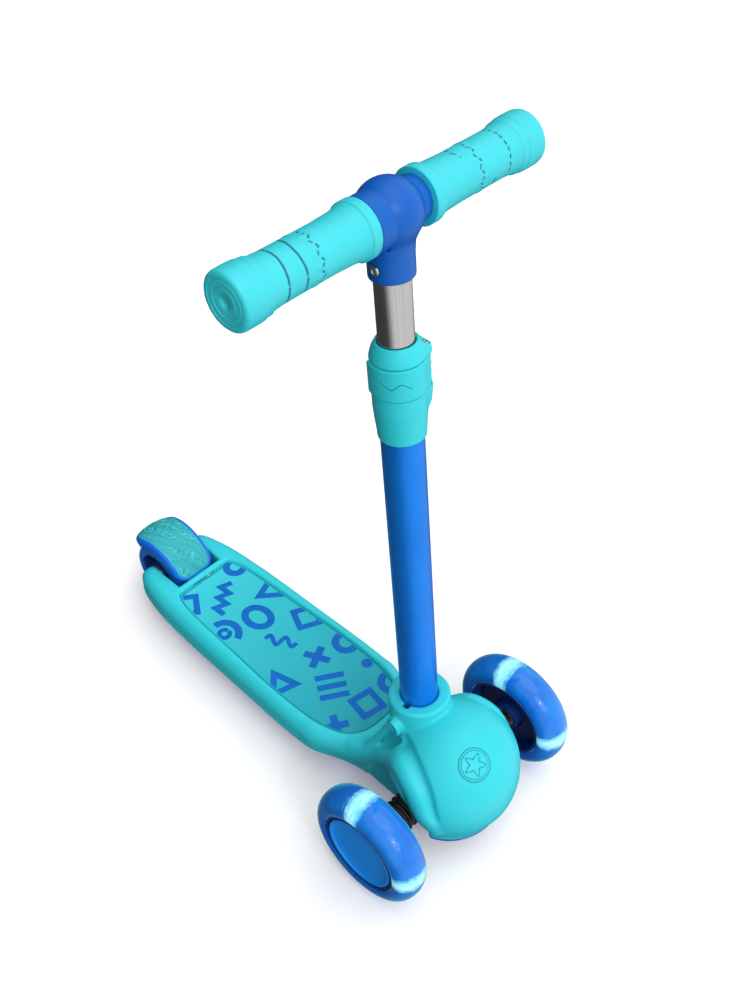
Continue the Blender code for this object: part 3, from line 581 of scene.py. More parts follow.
def turned_steel(name, base=(0.62, 0.62, 0.63), rough=0.28):
    """Machined steel with faint rings."""
    m = Finish(name, Metallic=1.0, Roughness=rough)
    rings = m.noise(1.0, 3.0, 0.6, stretch=(500.0, 500.0, 1500.0))
    return m.dressed(m.mix(m.between(rings, 0.3, 0.7, 0.0, 0.4), base, shade(base, 0.7)),
                     m.cloud(200.0, to=(rough * 0.7, rough * 1.4)), rings,
                     distance=0.00002, strength=0.4)


def black_nylon():
    """Glass-filled nylon with a cloudy, slightly dusty surface."""
    m = Finish("black_glass_nylon", Roughness=0.45)
    dust = m.cloud(300.0, 4.0, 0.6, (0.0, 0.6), (0.35, 0.7))
    return m.dressed(m.mix(dust, (0.003, 0.003, 0.005), (0.014, 0.014, 0.020)),
                     m.cloud(150.0, 4.0, 0.6, (0.36, 0.56)), m.noise(1100.0, 3.0, 0.6),
                     distance=0.00005, strength=0.5)


def lamp_board():
    """Printed board of the lamps, seen through dark blue plastic."""
    m = Finish("light_board", Roughness=0.4)
    spots = m.between(m.voronoi(160.0), 0.10, 0.22)
    return m.dressed(m.mix(spots, (0.006, 0.060, 0.300), (0.001, 0.014, 0.090)),
                     m.cloud(200.0, to=(0.3, 0.5)), spots, m.noise(900.0, 2.0),
                     distance=0.00008, strength=0.4)


def clear_tyre(name, radius, lit=()):
    """Cast clear-blue urethane, with a painted pale glow round its outline and streaky patches of
    painted glow.

    Each lit patch is the angle of its middle and its width, in degrees.
    """
    m = Finish(name, Roughness=0.10, IOR=1.42, Specular_IOR_Level=0.3, Transmission_Weight=0.10,
               Coat_Weight=0.30, Coat_Roughness=0.04, Emission_Color=(0.30, 0.85, 1.0, 1.0))
    x, y, z = m.axis(0), m.axis(1), m.axis(2)
    angle = m.math("ARCTAN2", y, x)
    away = m.math("SQRT", m.math("ADD", m.math("MULTIPLY", x, x), m.math("MULTIPLY", y, y)))
    body = m.mix(m.cloud(30.0, 4.0, 0.6), (0.003, 0.150, 0.680), (0.014, 0.270, 0.860))
    body = m.mix(m.between(away, radius * 0.88, radius * 0.72, 0.0, 0.7), body, (0.002, 0.120, 0.580))
    # Painted rim highlight: towards the outline the colour turns pale cyan and glows, by the Layer
    # Weight's Facing.
    edge = m.add("ShaderNodeLayerWeight", {"Blend": 0.28}).outputs["Facing"]
    body = m.mix(m.between(edge, 0.40, 0.95, 0.0, 0.9), body, (0.260, 0.740, 1.000))
    light = m.between(edge, 0.50, 0.95, 0.0, 0.40)
    # Painted glow: streaky bright patches at given angles are coloured pale cyan and made to shine.
    if lit:
        spread = m.add("ShaderNodeCombineXYZ", {0: m.math("MULTIPLY", angle, radius), 1: 0.0,
                                                2: m.math("MULTIPLY", z, 0.10)})
        streaks = m.noise(420.0, 3.0, 0.7, place=spread.outputs[0])
        ragged = m.noise(150.0, 3.0, 0.65)
        glow = 0.0
        for centre, width in lit:
            gap = m.math("SUBTRACT", angle, math.radians(centre))
            gap = m.math("ABSOLUTE", m.math("WRAP", gap, math.pi, -math.pi))
            for noise, depth in ((streaks, 0.26), (ragged, 0.16)):
                gap = m.math("ADD", gap, m.math("MULTIPLY", m.math("SUBTRACT", noise, 0.5), depth))
            patch = m.between(gap, math.radians(width) * 1.15, math.radians(width) * 0.45)
            glow = m.math("MAXIMUM", glow, patch)
        painted_glow_colour = m.mix(m.between(streaks, 0.40, 0.62), (0.100, 0.640, 0.860), (0.620, 0.930, 0.960))
        body = m.mix(glow, body, painted_glow_colour)
        light = m.math("MAXIMUM", light, m.math("MULTIPLY", glow, 0.45))
    # Painted glow: the outline and the patches are made to shine, though the tyre is no lamp.
    m.set("Emission Strength", light)
    return m.dressed(body, m.cloud(60.0, to=(0.08, 0.18)), m.noise(45.0, 2.0), distance=0.0005,
                     strength=0.12)


FINISH = {
    "shell": moulded("turquoise_shell", TURQUOISE, TURQUOISE_DEEP, 0.36, cut=True),
    "clamp": moulded("turquoise_clamp", TURQUOISE, TURQUOISE_DEEP, 0.34, cut=True),
    "plate": moulded("blue_plate", (0.004, 0.100, 0.560), (0.003, 0.08, 0.44), 0.42),
    "fender": moulded("blue_fender", BLUE, (0.004, 0.115, 0.62), 0.36),
    "cap": moulded("blue_hub_cap", (0.010, 0.290, 0.920), (0.006, 0.220, 0.80), 0.34),
    "navy": moulded("navy_hub", NAVY, (0.001, 0.018, 0.120), 0.35),
    "button": moulded("navy_button", (0.003, 0.040, 0.22), (0.002, 0.025, 0.14), 0.4),
    "insert": moulded("turquoise_insert", (0.070, 0.640, 0.700), (0.020, 0.430, 0.50), 0.5, 900.0,
                      cut=True),
    "head": moulded("blue_t_head", (0.002, 0.110, 0.500), (0.001, 0.080, 0.40), 0.32),
    "grip": grip_rubber(),
    "pad": pad_rubber(),
    "ink": print_ink(),
    "tube": painted_tube(),
    "aluminium": brushed_metal("brushed_slider", (0.55, 0.54, 0.53), 0.20),
    "steel": turned_steel("turned_steel"),
    "dark_steel": turned_steel("spring_steel", (0.42, 0.42, 0.44), 0.35),
    "black": black_nylon(),
    "board": lamp_board(),
}


# ---------------------------------------------------------------- deck shell
DECK_EDGE = [(-0.2225, 0.0325), (-0.2205, 0.0385), (-0.2120, 0.0450), (-0.1960, 0.0500),
             (-0.1700, 0.0545), (-0.1300, 0.0575), (-0.0900, 0.0590), (-0.0450, 0.0600),
             (0.0000, 0.0612), (0.0400, 0.0615), (0.0640, 0.0598), (0.0780, 0.0550),
             (0.0940, 0.0478), (0.1150, 0.0420), (0.1400, 0.0385), (0.1650, 0.0420),
             (0.1900, 0.0420)]
PAD_EDGE = [(-0.1612, 0.0300), (-0.1590, 0.0350), (-0.1330, 0.0412), (-0.0630, 0.0450),
            (-0.0030, 0.0480), (0.0470, 0.0470), (0.0720, 0.0430), (0.0900, 0.0350),
            (0.0995, 0.0220), (0.1025, 0.0080)]
RIDGE = [(0.062, 0.0455, 0.0482), (0.092, 0.0375, 0.0500), (0.116, 0.0340, 0.0575),
         (0.134, 0.0340, 0.0700), (0.148, 0.0352, 0.0855), (0.161, 0.0375, 0.0980),
         (0.1753, 0.0430, 0.1074), (0.193, 0.0490, 0.1020), (0.2061, 0.0514, 0.0834),
         (0.2123, 0.0497, 0.0745), (0.2165, 0.0452, 0.060)]
RIDGE_R = [0.0130, 0.0126, 0.0120, 0.0118, 0.0122, 0.0130, 0.0142, 0.0142, 0.0141, 0.0136, 0.0120]
CREASE = [(0.1610, 0.0345, 0.1210), (0.1729, 0.0405, 0.1259), (0.1914, 0.0487, 0.1229),
          (0.2095, 0.0548, 0.1095), (0.2220, 0.0563, 0.0840)]
CREASE_R = [0.0062, 0.0056, 0.0048, 0.0040, 0.0016]
CREST = [(0.141, 0.0235, 0.124), (0.134, 0.0262, 0.104), (0.126, 0.0310, 0.084),
         (0.118, 0.0360, 0.068), (0.104, 0.0400, 0.061)]
POCKET = (0.138, 0.0300, 0.0910)
TIP = np.array([-0.2050, 0.0425])     # middle of the round end of each rear arm, in X and Z
ARCH_EDGE = [(0.120, 0.010), (0.132, 0.064), (0.150, 0.082), (0.172, 0.088), (0.192, 0.083),
             (0.206, 0.068), (0.211, 0.050), (0.208, 0.010)]
WALL = 0.0035
GAP = 0.0003                          # between parts that fit together
NOSE = np.array([0.195, 0.0, 0.080])
NOSE_LONG, NOSE_WIDE, NOSE_UP, NOSE_DOWN = 0.061, 0.063, 0.068, 0.061
COLLAR_R, COLLAR_MIDDLE, COLLAR_HALF = 0.0285, 0.030, 0.0205
SOCKET_R, SOCKET_OUTER_R, SOCKET_FLOOR = 0.0175, 0.0207, -0.010
KEYWAY = math.radians(-85)            # round the stem from its front
KEYWAY_HALF, KEYWAY_R, KEYWAY_DEEP, KEYWAY_LOW = 0.0032, 0.0190, 0.0028, 0.034
BUTTON_HOLE_R, BUTTON_BOSS_R, HOOD_R, HOOD_HALF = 0.0062, 0.0085, 0.0079, 0.0016
AXLE_BORE, AXLE_ROOM_R = 0.0044, 0.0172
KINGPIN_BORE, KINGPIN_HEAD_R, KINGPIN_BOSS_R = 0.0036, 0.0060, 0.0080
SCREW_HEAD_R, SCREW_BOSS_R = 0.0042, 0.0045
RIB_HALF = 0.00125
PAD_FRONT = 0.112
SLOT_HALF, SLOT_FRONT = 0.0285, -0.1685
SCREWS = [(-0.150, 0.036), (-0.020, 0.048), (0.090, 0.034)]
RIBS = (-0.104, -0.034, 0.041)

deck_outline = Outline(closed(catmull(DECK_EDGE)))
pad_points = closed(catmull(PAD_EDGE))
pad_outline = Outline(pad_points)
arch_outline = Outline(ARCH_EDGE)
ridge_line = catmull(RIDGE, 4)
ridge_radii = catmull([(r, 0) for r in RIDGE_R], 4)[:, 0]
crease_line = catmull(CREASE, 3)
crease_radii = catmull([(r, 0) for r in CREASE_R], 3)[:, 0]


def swept(P, line, radii):
    """Distance to a round bead laid along a line."""
    best = np.full(len(P), 9.0)
    for a, b, ra, rb in zip(line, line[1:], radii, radii[1:]):
        best = np.minimum(best, capsule(P, a, b, ra, rb))
    return best


def shell_skin(P):
    """Outer form of the shell, the same on both sides."""
    Q = np.column_stack([P[:, 0], np.abs(P[:, 1]), P[:, 2]])
    x, y, z = Q.T
    edge = deck_outline(x, y)
    form = np.maximum(rounded_box(edge, z - DECK_TOP, 0.015), rounded_box(edge, 0.0272 - z, 0.009))
    tip = length(np.minimum(x - TIP[0], 0) / 0.0175, (z - TIP[1]) / 0.0220)
    form = smax(form, (tip - 1) * 0.0185, 0.003)
    tall = np.where(z > NOSE[2], NOSE_UP, NOSE_DOWN)
    nose = ellipse_distance((Q - NOSE).T, (NOSE_LONG, NOSE_WIDE, tall))
    t = np.clip((z - 0.036) / 0.040, 0, 1)
    skirt = ellipse_distance((x - NOSE[0], y), (0.0482 + 0.0095 * t, 0.0525 + 0.001 * t))
    nose = smin(nose, smax(skirt, z - 0.072, 0.02), 0.010)
    r, s = along_stem(Q)
    neck_r = 0.0235 + 0.026 * np.clip((0.020 - s) / 0.065, 0, 1) ** 1.8
    form = smin(form, smax((r - neck_r) * 0.85, s - 0.042, 0.006), 0.012)
    form = smin(form, swept(Q, ridge_line, ridge_radii), 0.008)
    form = smin(form, nose, 0.002)
    form = smax(form, -swept(Q, crease_line, crease_radii), 0.005)
    form = smax(form, -capsule(Q, POCKET, (0.152, 0.0310, 0.108), 0.0062), 0.007)
    form = smin(form, swept(Q, CREST, [0.0042] * len(CREST)), 0.006)
    collar = smax(r - COLLAR_R, np.abs(s - COLLAR_MIDDLE) - COLLAR_HALF, 0.003)
    form = smin(form, collar, 0.003)
    return smax(form, -smax(0.0400 - y, arch_outline(x, z), 0.003), 0.004)


def wheel_slot(x, y, wall=0.0):
    """Inside the rear wheel's slot, or a wall's thickness further out."""
    return np.maximum(np.abs(y) - SLOT_HALF - wall, x - SLOT_FRONT - wall)


def shell_hollow(P, skin):
    """The space inside the shell, less the socket, bosses and ribs that stand in it."""
    x, y, z = P.T
    ay = np.abs(y)
    r, s = along_stem(P)
    lean, off = along_lean(P)
    kept = [
        np.maximum(r - SOCKET_OUTER_R, SOCKET_FLOOR - WALL - s),
        np.maximum(off - KINGPIN_BOSS_R, 0.0166 - lean),
        np.maximum(from_line(P, BUTTON) - 0.0095, y + 0.004),       # the button's boss
        wheel_slot(x, y, 0.003),
        np.abs(x - REAR[0]) - 0.008,                                # the rear axle's walls
        np.maximum(np.abs(ay - 0.0155) - 0.0015, np.abs(x + 0.1625) - 0.0125),
    ]
    kept += [np.abs(x - at) - RIB_HALF for at in RIBS]
    kept += [length(x - sx, ay - sy) - SCREW_BOSS_R for sx, sy in SCREWS]
    roof = np.minimum(z - (PAD_LOW - 0.004), 0.108 - x)
    return smax(np.maximum(skin + WALL, roof), -np.minimum.reduce(kept), 0.001)


def shell_field(P):
    """The shell with its pad recess, slot, button hood, socket and axle openings."""
    x, y, z = P.T
    ay = np.abs(y)
    skin = shell_skin(P)
    d = pad_outline(x, y)
    recess = smax(d - 0.0006 - np.clip(z - PAD_TOP, 0, 0.006) * 0.5, PAD_LOW - GAP - z, 0.0005)
    form = smax(skin, -np.maximum(recess, x - PAD_FRONT), 0.0015)
    form = smax(form, -smax(wheel_slot(x, y), -z, 0.003), 0.002)
    boss = capsule(P, (BUTTON[0], -0.0300, BUTTON[2]), (BUTTON[0], -0.010, BUTTON[2]), BUTTON_BOSS_R)
    form = smin(form, np.maximum(boss, -0.0325 - y), 0.003)
    from_button = from_line(P, BUTTON)
    hood = smax(np.abs(from_button - HOOD_R) - HOOD_HALF, np.maximum(-0.0365 - y, y + 0.0290), 0.0012)
    form = smin(form, smax(hood, 0.003 - (x - BUTTON[0]) * 0.8 - (z - BUTTON[2]) * 0.6, 0.002), 0.002)
    form = smax(form, -shell_hollow(P, skin), 0.001)
    form = smax(form, -np.maximum(from_button - BUTTON_HOLE_R, y + 0.0225), 0.001)
    r, s = along_stem(P)
    form = smax(form, -np.maximum(r - SOCKET_R, SOCKET_FLOOR - s), 0.001)
    from_tube = x - FOOT[0] + s * math.tan(RAKE)
    outward_way = from_tube * math.cos(KEYWAY) + y * math.sin(KEYWAY)
    sideways = y * math.cos(KEYWAY) - from_tube * math.sin(KEYWAY)
    keyway = np.maximum(np.abs(sideways) - KEYWAY_HALF, np.abs(outward_way - KEYWAY_R) - KEYWAY_DEEP)
    form = smax(form, -np.maximum(keyway, KEYWAY_LOW - s), 0.0006)
    truck_room = np.maximum(from_line(P, AXLE) - AXLE_ROOM_R, np.abs(ay - 0.040) - 0.020)
    form = smax(form, -truck_room, 0.001)
    notch = np.maximum(np.maximum(ay - 0.0138, z - 0.0592), np.abs(x + 0.161) - 0.0095)
    form = smax(form, -notch, 0.001)
    form = smax(form, -np.maximum(from_line(P, REAR) - AXLE_BORE, ay - 0.0390), 0.0005)
    return smax(form, PLATE_TOP + GAP - z, 0.001)


def engrave(obj, pattern, depth, centre, reach, facing, cuts=2):
    """Cuts a pattern into a piece: the mesh is made finer there and pushed in, and its lines are
    marked for painted shade.
    """
    mesh = obj.data
    bm = bmesh.new()
    bm.from_mesh(mesh)
    centre, facing = Vector(centre), Vector(facing)

    def wanted(p, n):
        return (p - centre).length < reach and n.dot(facing) > 0.2

    for _ in range(cuts):
        edges = {e for f in bm.faces if wanted(f.calc_center_median(), f.normal) for e in f.edges}
        bmesh.ops.subdivide_edges(bm, edges=sorted(edges, key=lambda e: e.index), cuts=1,
                                  use_grid_fill=True)
        bm.normal_update()
        bm.edges.index_update()
    # Weights of the pattern, which the finish darkens as painted shade.
    layer = bm.verts.layers.float.new("cut")
    chosen = [v for v in bm.verts if wanted(v.co, v.normal)]
    weight = pattern(np.array([v.co for v in chosen]))
    for v, w in zip(chosen, weight):
        v[layer] = float(w)
    moves = [(v, v.normal.copy() * depth * float(w)) for v, w in zip(chosen, weight) if w > 0]
    for v, move in moves:
        v.co -= move
    bmesh.ops.triangulate(bm, faces=[f for f in bm.faces if len(f.verts) > 4])
    bm.to_mesh(mesh)
    bm.free()
    mesh.polygons.foreach_set("use_smooth", [True] * len(mesh.polygons))


def line_mask(distance, half, soft=0.0003):
    """1 on a line of a given half width, falling to 0 just outside it."""
    return np.clip((half + soft - distance) / soft, 0, 1)


shell = net_piece("deck_shell_skin", shell_field, (-0.236, -0.080, 0.030), (0.262, 0.080, 0.156),
                  0.0018, FINISH["shell"], "deck", ["deck_shell"])

BADGE = NOSE + np.array([0.034, -0.015, 0.054])
badge_normal = (BADGE - NOSE) / np.linalg.norm(BADGE - NOSE)
badge_axes = axes_of(badge_normal, (0, 1, 0))


def badge_pattern(P):
    """Round badge: a double ring with a five-pointed star."""
    q = (P - BADGE) @ badge_axes.T
    r = length(q[:, 0], q[:, 1])
    angle = np.arctan2(q[:, 1], q[:, 0])
    rings = np.maximum(line_mask(np.abs(r - 0.0150), 0.00035), line_mask(np.abs(r - 0.0128), 0.0002))
    turn = np.mod(angle, 2 * math.pi / 5) - math.pi / 5
    edge = 0.0042 / np.cos(np.abs(turn) - math.pi / 5 * 1.95)
    star = np.abs(r - np.minimum(edge, 0.0100)) * 0.7
    return np.maximum(rings, line_mask(star, 0.0003))


# The badge's lines are pushed in and darkened with painted shade.
engrave(shell, badge_pattern, 0.0005, BADGE, 0.019, badge_normal)


# ---------------------------------------------------------------- base plate
CELL_LONG, CELL_WIDE = 0.024, 0.021       # pitch of the pockets under the plate
BRACKET_MIDDLE, BRACKET_HALF, BRACKET_WIDE = 0.1642, 0.0083, 0.011
BRACKET_LOW, BRACKET_HIGH = 0.0275, 0.0505


def plate_field(P):
    """Ribbed plate that follows the shell's lower edge, with the kingpin's bracket on it."""
    x, y, z = P.T
    ay = np.abs(y)
    flat = np.column_stack([x, y, np.full(len(x), PLATE_TOP + 0.003)])
    taper = np.clip((0.0325 - z) * 0.45, 0, 0.003)
    along_deck = np.clip((0.165 - x) / 0.030, 0, 1) * 0.0034
    edge = np.maximum(shell_skin(flat), -0.05) + 0.0002 + taper + along_deck
    form = smax(edge, np.abs(z - (PLATE_LOW + PLATE_TOP) / 2) - (PLATE_TOP - PLATE_LOW) / 2, 0.0008)
    cell = np.maximum(np.abs(np.mod(x + CELL_LONG / 2, CELL_LONG) - CELL_LONG / 2) - 0.0106,
                      np.abs(np.mod(ay, CELL_WIDE) - CELL_WIDE / 2) - 0.0092)
    pocket = smax(np.maximum(cell, edge + 0.0075), z - (PLATE_LOW + 0.0016), 0.0006)
    pocket = np.maximum(pocket, 0.0065 - ay)
    from_screw = np.minimum.reduce([length(x - sx, ay - sy) for sx, sy in SCREWS])
    form = smax(form, -np.maximum(pocket, 0.0075 - from_screw), 0.0006)
    bracket = np.maximum(np.abs(x - BRACKET_MIDDLE) - BRACKET_HALF, ay - BRACKET_WIDE)
    form = np.minimum(form, np.maximum(bracket, np.maximum(z - BRACKET_HIGH, BRACKET_LOW - z)))
    lean, off = along_lean(P)
    form = np.maximum(form, -np.maximum(off - KINGPIN_BORE, lean))
    form = np.maximum(form, -np.maximum(off - KINGPIN_HEAD_R, lean + 0.0236))
    form = np.maximum(form, -np.maximum(from_screw - SCREW_HEAD_R, z - 0.0295))
    return smax(form, -wheel_slot(x, y), 0.001)


net_piece("base_plate_skin", plate_field, (-0.236, -0.080, 0.0245), (0.262, 0.080, 0.0525),
          0.0016, FINISH["plate"], "deck", ["base_plate"])


# ---------------------------------------------------------------- foot pad and its print
def signed_area(points):
    """Area of a closed outline, negative if it runs clockwise."""
    following = np.roll(points, -1, 0)
    return np.sum(points[:, 0] * following[:, 1] - following[:, 0] * points[:, 1]) / 2


def inset(points, distance):
    """A closed outline moved inward."""
    points = np.asarray(points)
    along = np.roll(points, -1, 0) - np.roll(points, 1, 0)
    along /= np.maximum(np.linalg.norm(along, axis=1), 1e-9)[:, None]
    normal = np.column_stack([-along[:, 1], along[:, 0]])
    return points + normal * distance * (1 if signed_area(points) > 0 else -1)


def foot_pad():
    """Flat rubber pad with an eased upper edge, in level rings that shrink inward."""
    rings = [(0.0002, PAD_LOW), (0.0002, PAD_TOP - 0.0012), (0.0005, PAD_TOP - 0.0004),
             (0.0012, PAD_TOP), (0.0030, PAD_TOP)]
    verts = [(x, y, height) for distance, height in rings for x, y in inset(pad_points, distance)]
    n = len(pad_points)
    faces = grid_faces(len(rings), n, wrap=True)
    faces.append(tuple(range(n))[::-1])
    top = len(verts) - n
    for i in range(n // 2 - 1):
        faces.append((top + i, top + i + 1, top + n - 2 - i, top + n - 1 - i))
    add_mesh("foot_pad", verts, outward(verts, faces), FINISH["pad"], "deck",
             ["deck_pad"], 50)


foot_pad()

STROKE = 0.0078                       # width of the pen that draws the print
INK = 0.00012                         # how far the print stands above the pad


def ribbon(points, width=STROKE, closed_line=False):
    """Four-sided cells along a line drawn with a pen of that width, with mitred corners."""
    points = np.asarray(points, float)
    count = len(points)
    left, right = [], []
    for i, p in enumerate(points):
        ahead = points[(i + 1) % count] - p
        behind = p - points[i - 1]
        if not closed_line and i == 0:
            behind = ahead
        if not closed_line and i == count - 1:
            ahead = behind
        ahead, behind = ahead / np.linalg.norm(ahead), behind / np.linalg.norm(behind)
        tangent = (ahead + behind) / np.linalg.norm(ahead + behind)
        normal = np.array([-tangent[1], tangent[0]])
        reach = width / 2 / max(abs(normal @ np.array([-ahead[1], ahead[0]])), 0.4)
        left.append(p + normal * reach)
        right.append(p - normal * reach)
    spans = range(count if closed_line else count - 1)
    return [np.array([left[i], right[i], right[(i + 1) % count], left[(i + 1) % count]])
            for i in spans]


def arc(radius, start, end, width=STROKE):
    """Part of a circle between two angles in degrees."""
    angles = np.radians(np.linspace(start, end, 22))
    return ribbon(np.column_stack([radius * np.cos(angles), radius * np.sin(angles)]), width)


def ring(rx, ry, width=STROKE, count=40):
    """Ellipse, or with few points a triangle or a square."""
    angles = np.linspace(0, 2 * math.pi, count, endpoint=False)
    return ribbon(np.column_stack([rx * np.cos(angles), ry * np.sin(angles)]), width, True)


def bars(count, width, pitch, size):
    """Parallel bars, not joined to each other."""
    cells = []
    for i in range(count):
        y = (i - (count - 1) / 2) * pitch
        cells += ribbon([(-size / 2, y), (size / 2, y)], width)
    return cells


def zigzag(peaks, pitch, height, width=STROKE * 0.8):
    return ribbon([((i - peaks / 2) * pitch, height / 2 * (-1) ** i) for i in range(peaks + 1)], width)


def wave(turns, pitch, height, width=STROKE * 0.85):
    t = np.linspace(-turns / 2, turns / 2, int(14 * turns))
    return ribbon(np.column_stack([t * pitch, height / 2 * np.sin(2 * math.pi * t)]), width)


def plus(size):
    half = STROKE / 2
    return ribbon([(-size, 0), (size, 0)]) + ribbon([(0, half), (0, size)]) \
        + ribbon([(0, -size), (0, -half)])


DOT = ring(0.0030, 0.0030, 0.0058, 20)
RING = ring(0.0110, 0.0110)
TRIANGLE = ring(0.0150, 0.0150, STROKE * 0.85, 3)
SQUARE = ring(0.0160, 0.0160, STROKE * 0.85, 4)
MARKS = [  # cells, x, y, turn in degrees
    (ring(0.0095, 0.0095), -0.1491, 0.0338, 0),
    (zigzag(6, 0.0074, 0.0110), -0.1249, -0.0048, -52),
    (TRIANGLE, -0.0966, 0.0387, 20),
    (ring(0.0150, 0.0118), -0.0788, 0.0036, 8),
    (SQUARE, -0.1450, -0.0394, 10),
    (SQUARE, -0.0420, 0.0396, 20),
    (arc(0.0150, -80, 80) + arc(0.0055, 0, 350, 0.0050), -0.0870, -0.0360, 100),
    (wave(2.0, 0.0165, 0.0110, STROKE * 0.6), -0.0382, -0.0014, 35),
    (plus(0.0140), 0.0033, 0.0100, 25),
    (RING, 0.0109, 0.0446, 0),
    (TRIANGLE, 0.0017, -0.0389, -75),
    (DOT, 0.0452, 0.0402, 0),
    (bars(3, 0.0068, 0.0122, 0.0300), 0.0400, -0.0049, 58),
    (SQUARE, 0.0800, 0.0045, 35),
    (plus(0.0130), 0.0766, -0.0359, 60),
    (RING, 0.0797, 0.0406, 0),
]


def clipped(cell, border):
    """The part of a convex cell that lies inside a convex border."""
    points = [np.asarray(p, float) for p in cell]
    for a, b in zip(border, np.roll(border, -1, 0)):
        if len(points) < 3:
            return []
        edge = b - a
        side = [edge[0] * (p[1] - a[1]) - edge[1] * (p[0] - a[0]) for p in points]
        kept = []
        for i, p in enumerate(points):
            q, here, there = points[i - 1], side[i], side[i - 1]
            if (here >= 0) != (there >= 0):
                kept.append(q + (p - q) * there / (there - here))
            if here >= 0:
                kept.append(p)
        points = kept
    return points


def pad_print():
    """Ink shapes on the pad, cut off at its edge, each a thin raised film."""
    border = inset(pad_points, 0.0016)
    border = border[geometry.convex_hull_2d([tuple(p) for p in border])]
    border = border if signed_area(border) > 0 else border[::-1]
    bm = bmesh.new()
    for cells, x, y, turn in MARKS:
        c, s = math.cos(math.radians(turn)), math.sin(math.radians(turn))
        for cell in cells:
            world = cell @ np.array([[c, s], [-s, c]]) + (x, y)
            piece = clipped(world if signed_area(world) > 0 else world[::-1], border)
            if len(piece) > 2:
                bm.faces.new([bm.verts.new((*p, PAD_TOP + INK)) for p in piece])
    bmesh.ops.remove_doubles(bm, verts=bm.verts, dist=0.00005)
    bmesh.ops.dissolve_degenerate(bm, edges=bm.edges, dist=0.00002)
    bmesh.ops.recalc_face_normals(bm, faces=bm.faces)
    for face in bm.faces:
        if face.normal.z < 0:
            face.normal_flip()
    bmesh.ops.solidify(bm, geom=list(bm.faces), thickness=0.0004)
    half_way = sum(v.co.z for v in bm.verts) / len(bm.verts)
    for vert in bm.verts:
        vert.co.z = PAD_TOP + (INK if vert.co.z > half_way else -0.0004)
    bmesh.ops.recalc_face_normals(bm, faces=bm.faces)
    mesh = bpy.data.meshes.new("pad_print")
    bm.to_mesh(mesh)
    bm.free()
    add_piece("pad_print_shapes", mesh, FINISH["ink"], "deck", sharp=30)


pad_print()


# ---------------------------------------------------------------- front wheels
FRONT_R = 0.060
FRONT_HALF = 0.018


def rounded_tyre(radius, half, bore, wall=0.94, crown=0.86, steps=18):
    """Section of a solid tyre: a near-elliptical tread and flat side walls."""
    out = [(bore, half * wall)]
    centre = radius - half * crown
    for i in range(steps + 1):
        angle = math.pi / 2 - math.pi * i / steps
        out.append((centre + (radius - centre) * abs(math.cos(angle)) ** 0.92,
                    half * math.sin(angle)))
    out.append((bore, -half * wall))
    return out


def front_wheel(side, sign):
    """Clear tyre, navy hub and blue cap of one front wheel."""
    body = f"front_wheel_{side}"
    origin = AXLE + (0, sign * TRACK, 0)
    axes = axes_of((0, sign, 0))
    # Where the painted glow patches sit at rest: near the tyre's top and near its front.
    lit = [(-sign * 102, 9), (-sign * 7, 9)]
    tyre = clear_tyre(f"clear_blue_tyre_{side}", FRONT_R, lit)
    bore = 0.0415
    turned_piece(f"tyre_{side}", rounded_tyre(FRONT_R, FRONT_HALF, bore), origin, axes, tyre, body,
                 "clear_blue_tyre", [f"front_tyre_{side}"], looped=True, steps=128)
    rim = bore - 0.0003
    hub = eased([(rim, 0.0166), (rim, -0.0166), (rim - 0.003, -0.0166), (rim - 0.0036, -0.0035),
                 (0.0150, -0.0035), (0.0142, -0.0148), (0.0111, -0.0148), (0.0111, -0.0073),
                 (0.0094, -0.0073), (0.0094, 0.0002), (0.0111, 0.0002), (0.0111, 0.0078),
                 (0.0142, 0.0078), (0.0150, -0.0005), (rim - 0.0036, -0.0005),
                 (rim - 0.003, 0.0166)], 0.0006, 2)
    turned_piece(f"hub_{side}", hub, origin, axes, FINISH["navy"], body, "navy_plastic",
                 [f"front_hub_{side}"], looped=True, steps=96)
    cap = eased([(0.0, 0.0136), (0.012, 0.0136), (0.026, 0.0139), (0.0335, 0.0150),
                 (0.0346, 0.0164), (0.0368, 0.0166), (0.0372, 0.0158), (0.0372, 0.0040),
                 (0.0356, 0.0040), (0.0350, 0.0134), (0.028, 0.0124), (0.012, 0.0118),
                 (0.0, 0.0118)], 0.0007, 3)
    turned_piece(f"cap_{side}", cap, origin, axes, FINISH["cap"], body, "blue_plastic",
                 [f"hub_cap_{side}"], steps=112)


front_wheel("left", 1)
front_wheel("right", -1)


# ---------------------------------------------------------------- rear wheel
REAR_R = 0.040
REAR_HALF = 0.0225
across_axes = axes_of((0, 1, 0))
turned_piece("tyre_rear", rounded_tyre(REAR_R, REAR_HALF, 0.0262, 0.98, 0.45), REAR, across_axes,
             clear_tyre("clear_blue_tyre_rear", REAR_R), "rear_wheel", "clear_blue_tyre",
             ["rear_tyre"], looped=True, steps=112)
rim, side = 0.0259, REAR_HALF - 0.0015
seat = side - 0.0076
rear_hub = eased([(rim, side), (rim, -side), (rim - 0.0025, -side), (rim - 0.003, -0.002),
                  (0.0142, -0.002), (0.0142, -side), (0.0111, -side), (0.0111, -seat),
                  (0.0094, -seat), (0.0094, seat), (0.0111, seat), (0.0111, side),
                  (0.0142, side), (0.0142, 0.002), (rim - 0.003, 0.002), (rim - 0.0025, side)],
                 0.0005, 2)
turned_piece("hub_rear", rear_hub, REAR, across_axes, FINISH["navy"], "rear_wheel", "navy_plastic",
             ["rear_hub"], looped=True, steps=96)


# ---------------------------------------------------------------- truck
BARREL_R, BARREL_HALF, BARREL_BORE = 0.0108, 0.0150, 0.0034
ARM_R, ARM_END = 0.0080, 0.0870
BOOT_R, BOOT_MIDDLE, BOOT_HALF = 0.0148, 0.0578, 0.0137
RIB_DEPTH, RIB_PITCH, FIRST_RIB = 0.0013, 0.0068, 0.0440
SHOULDER_R, SHOULDER_START, SHOULDER_END = 0.0120, 0.0600, 0.0735


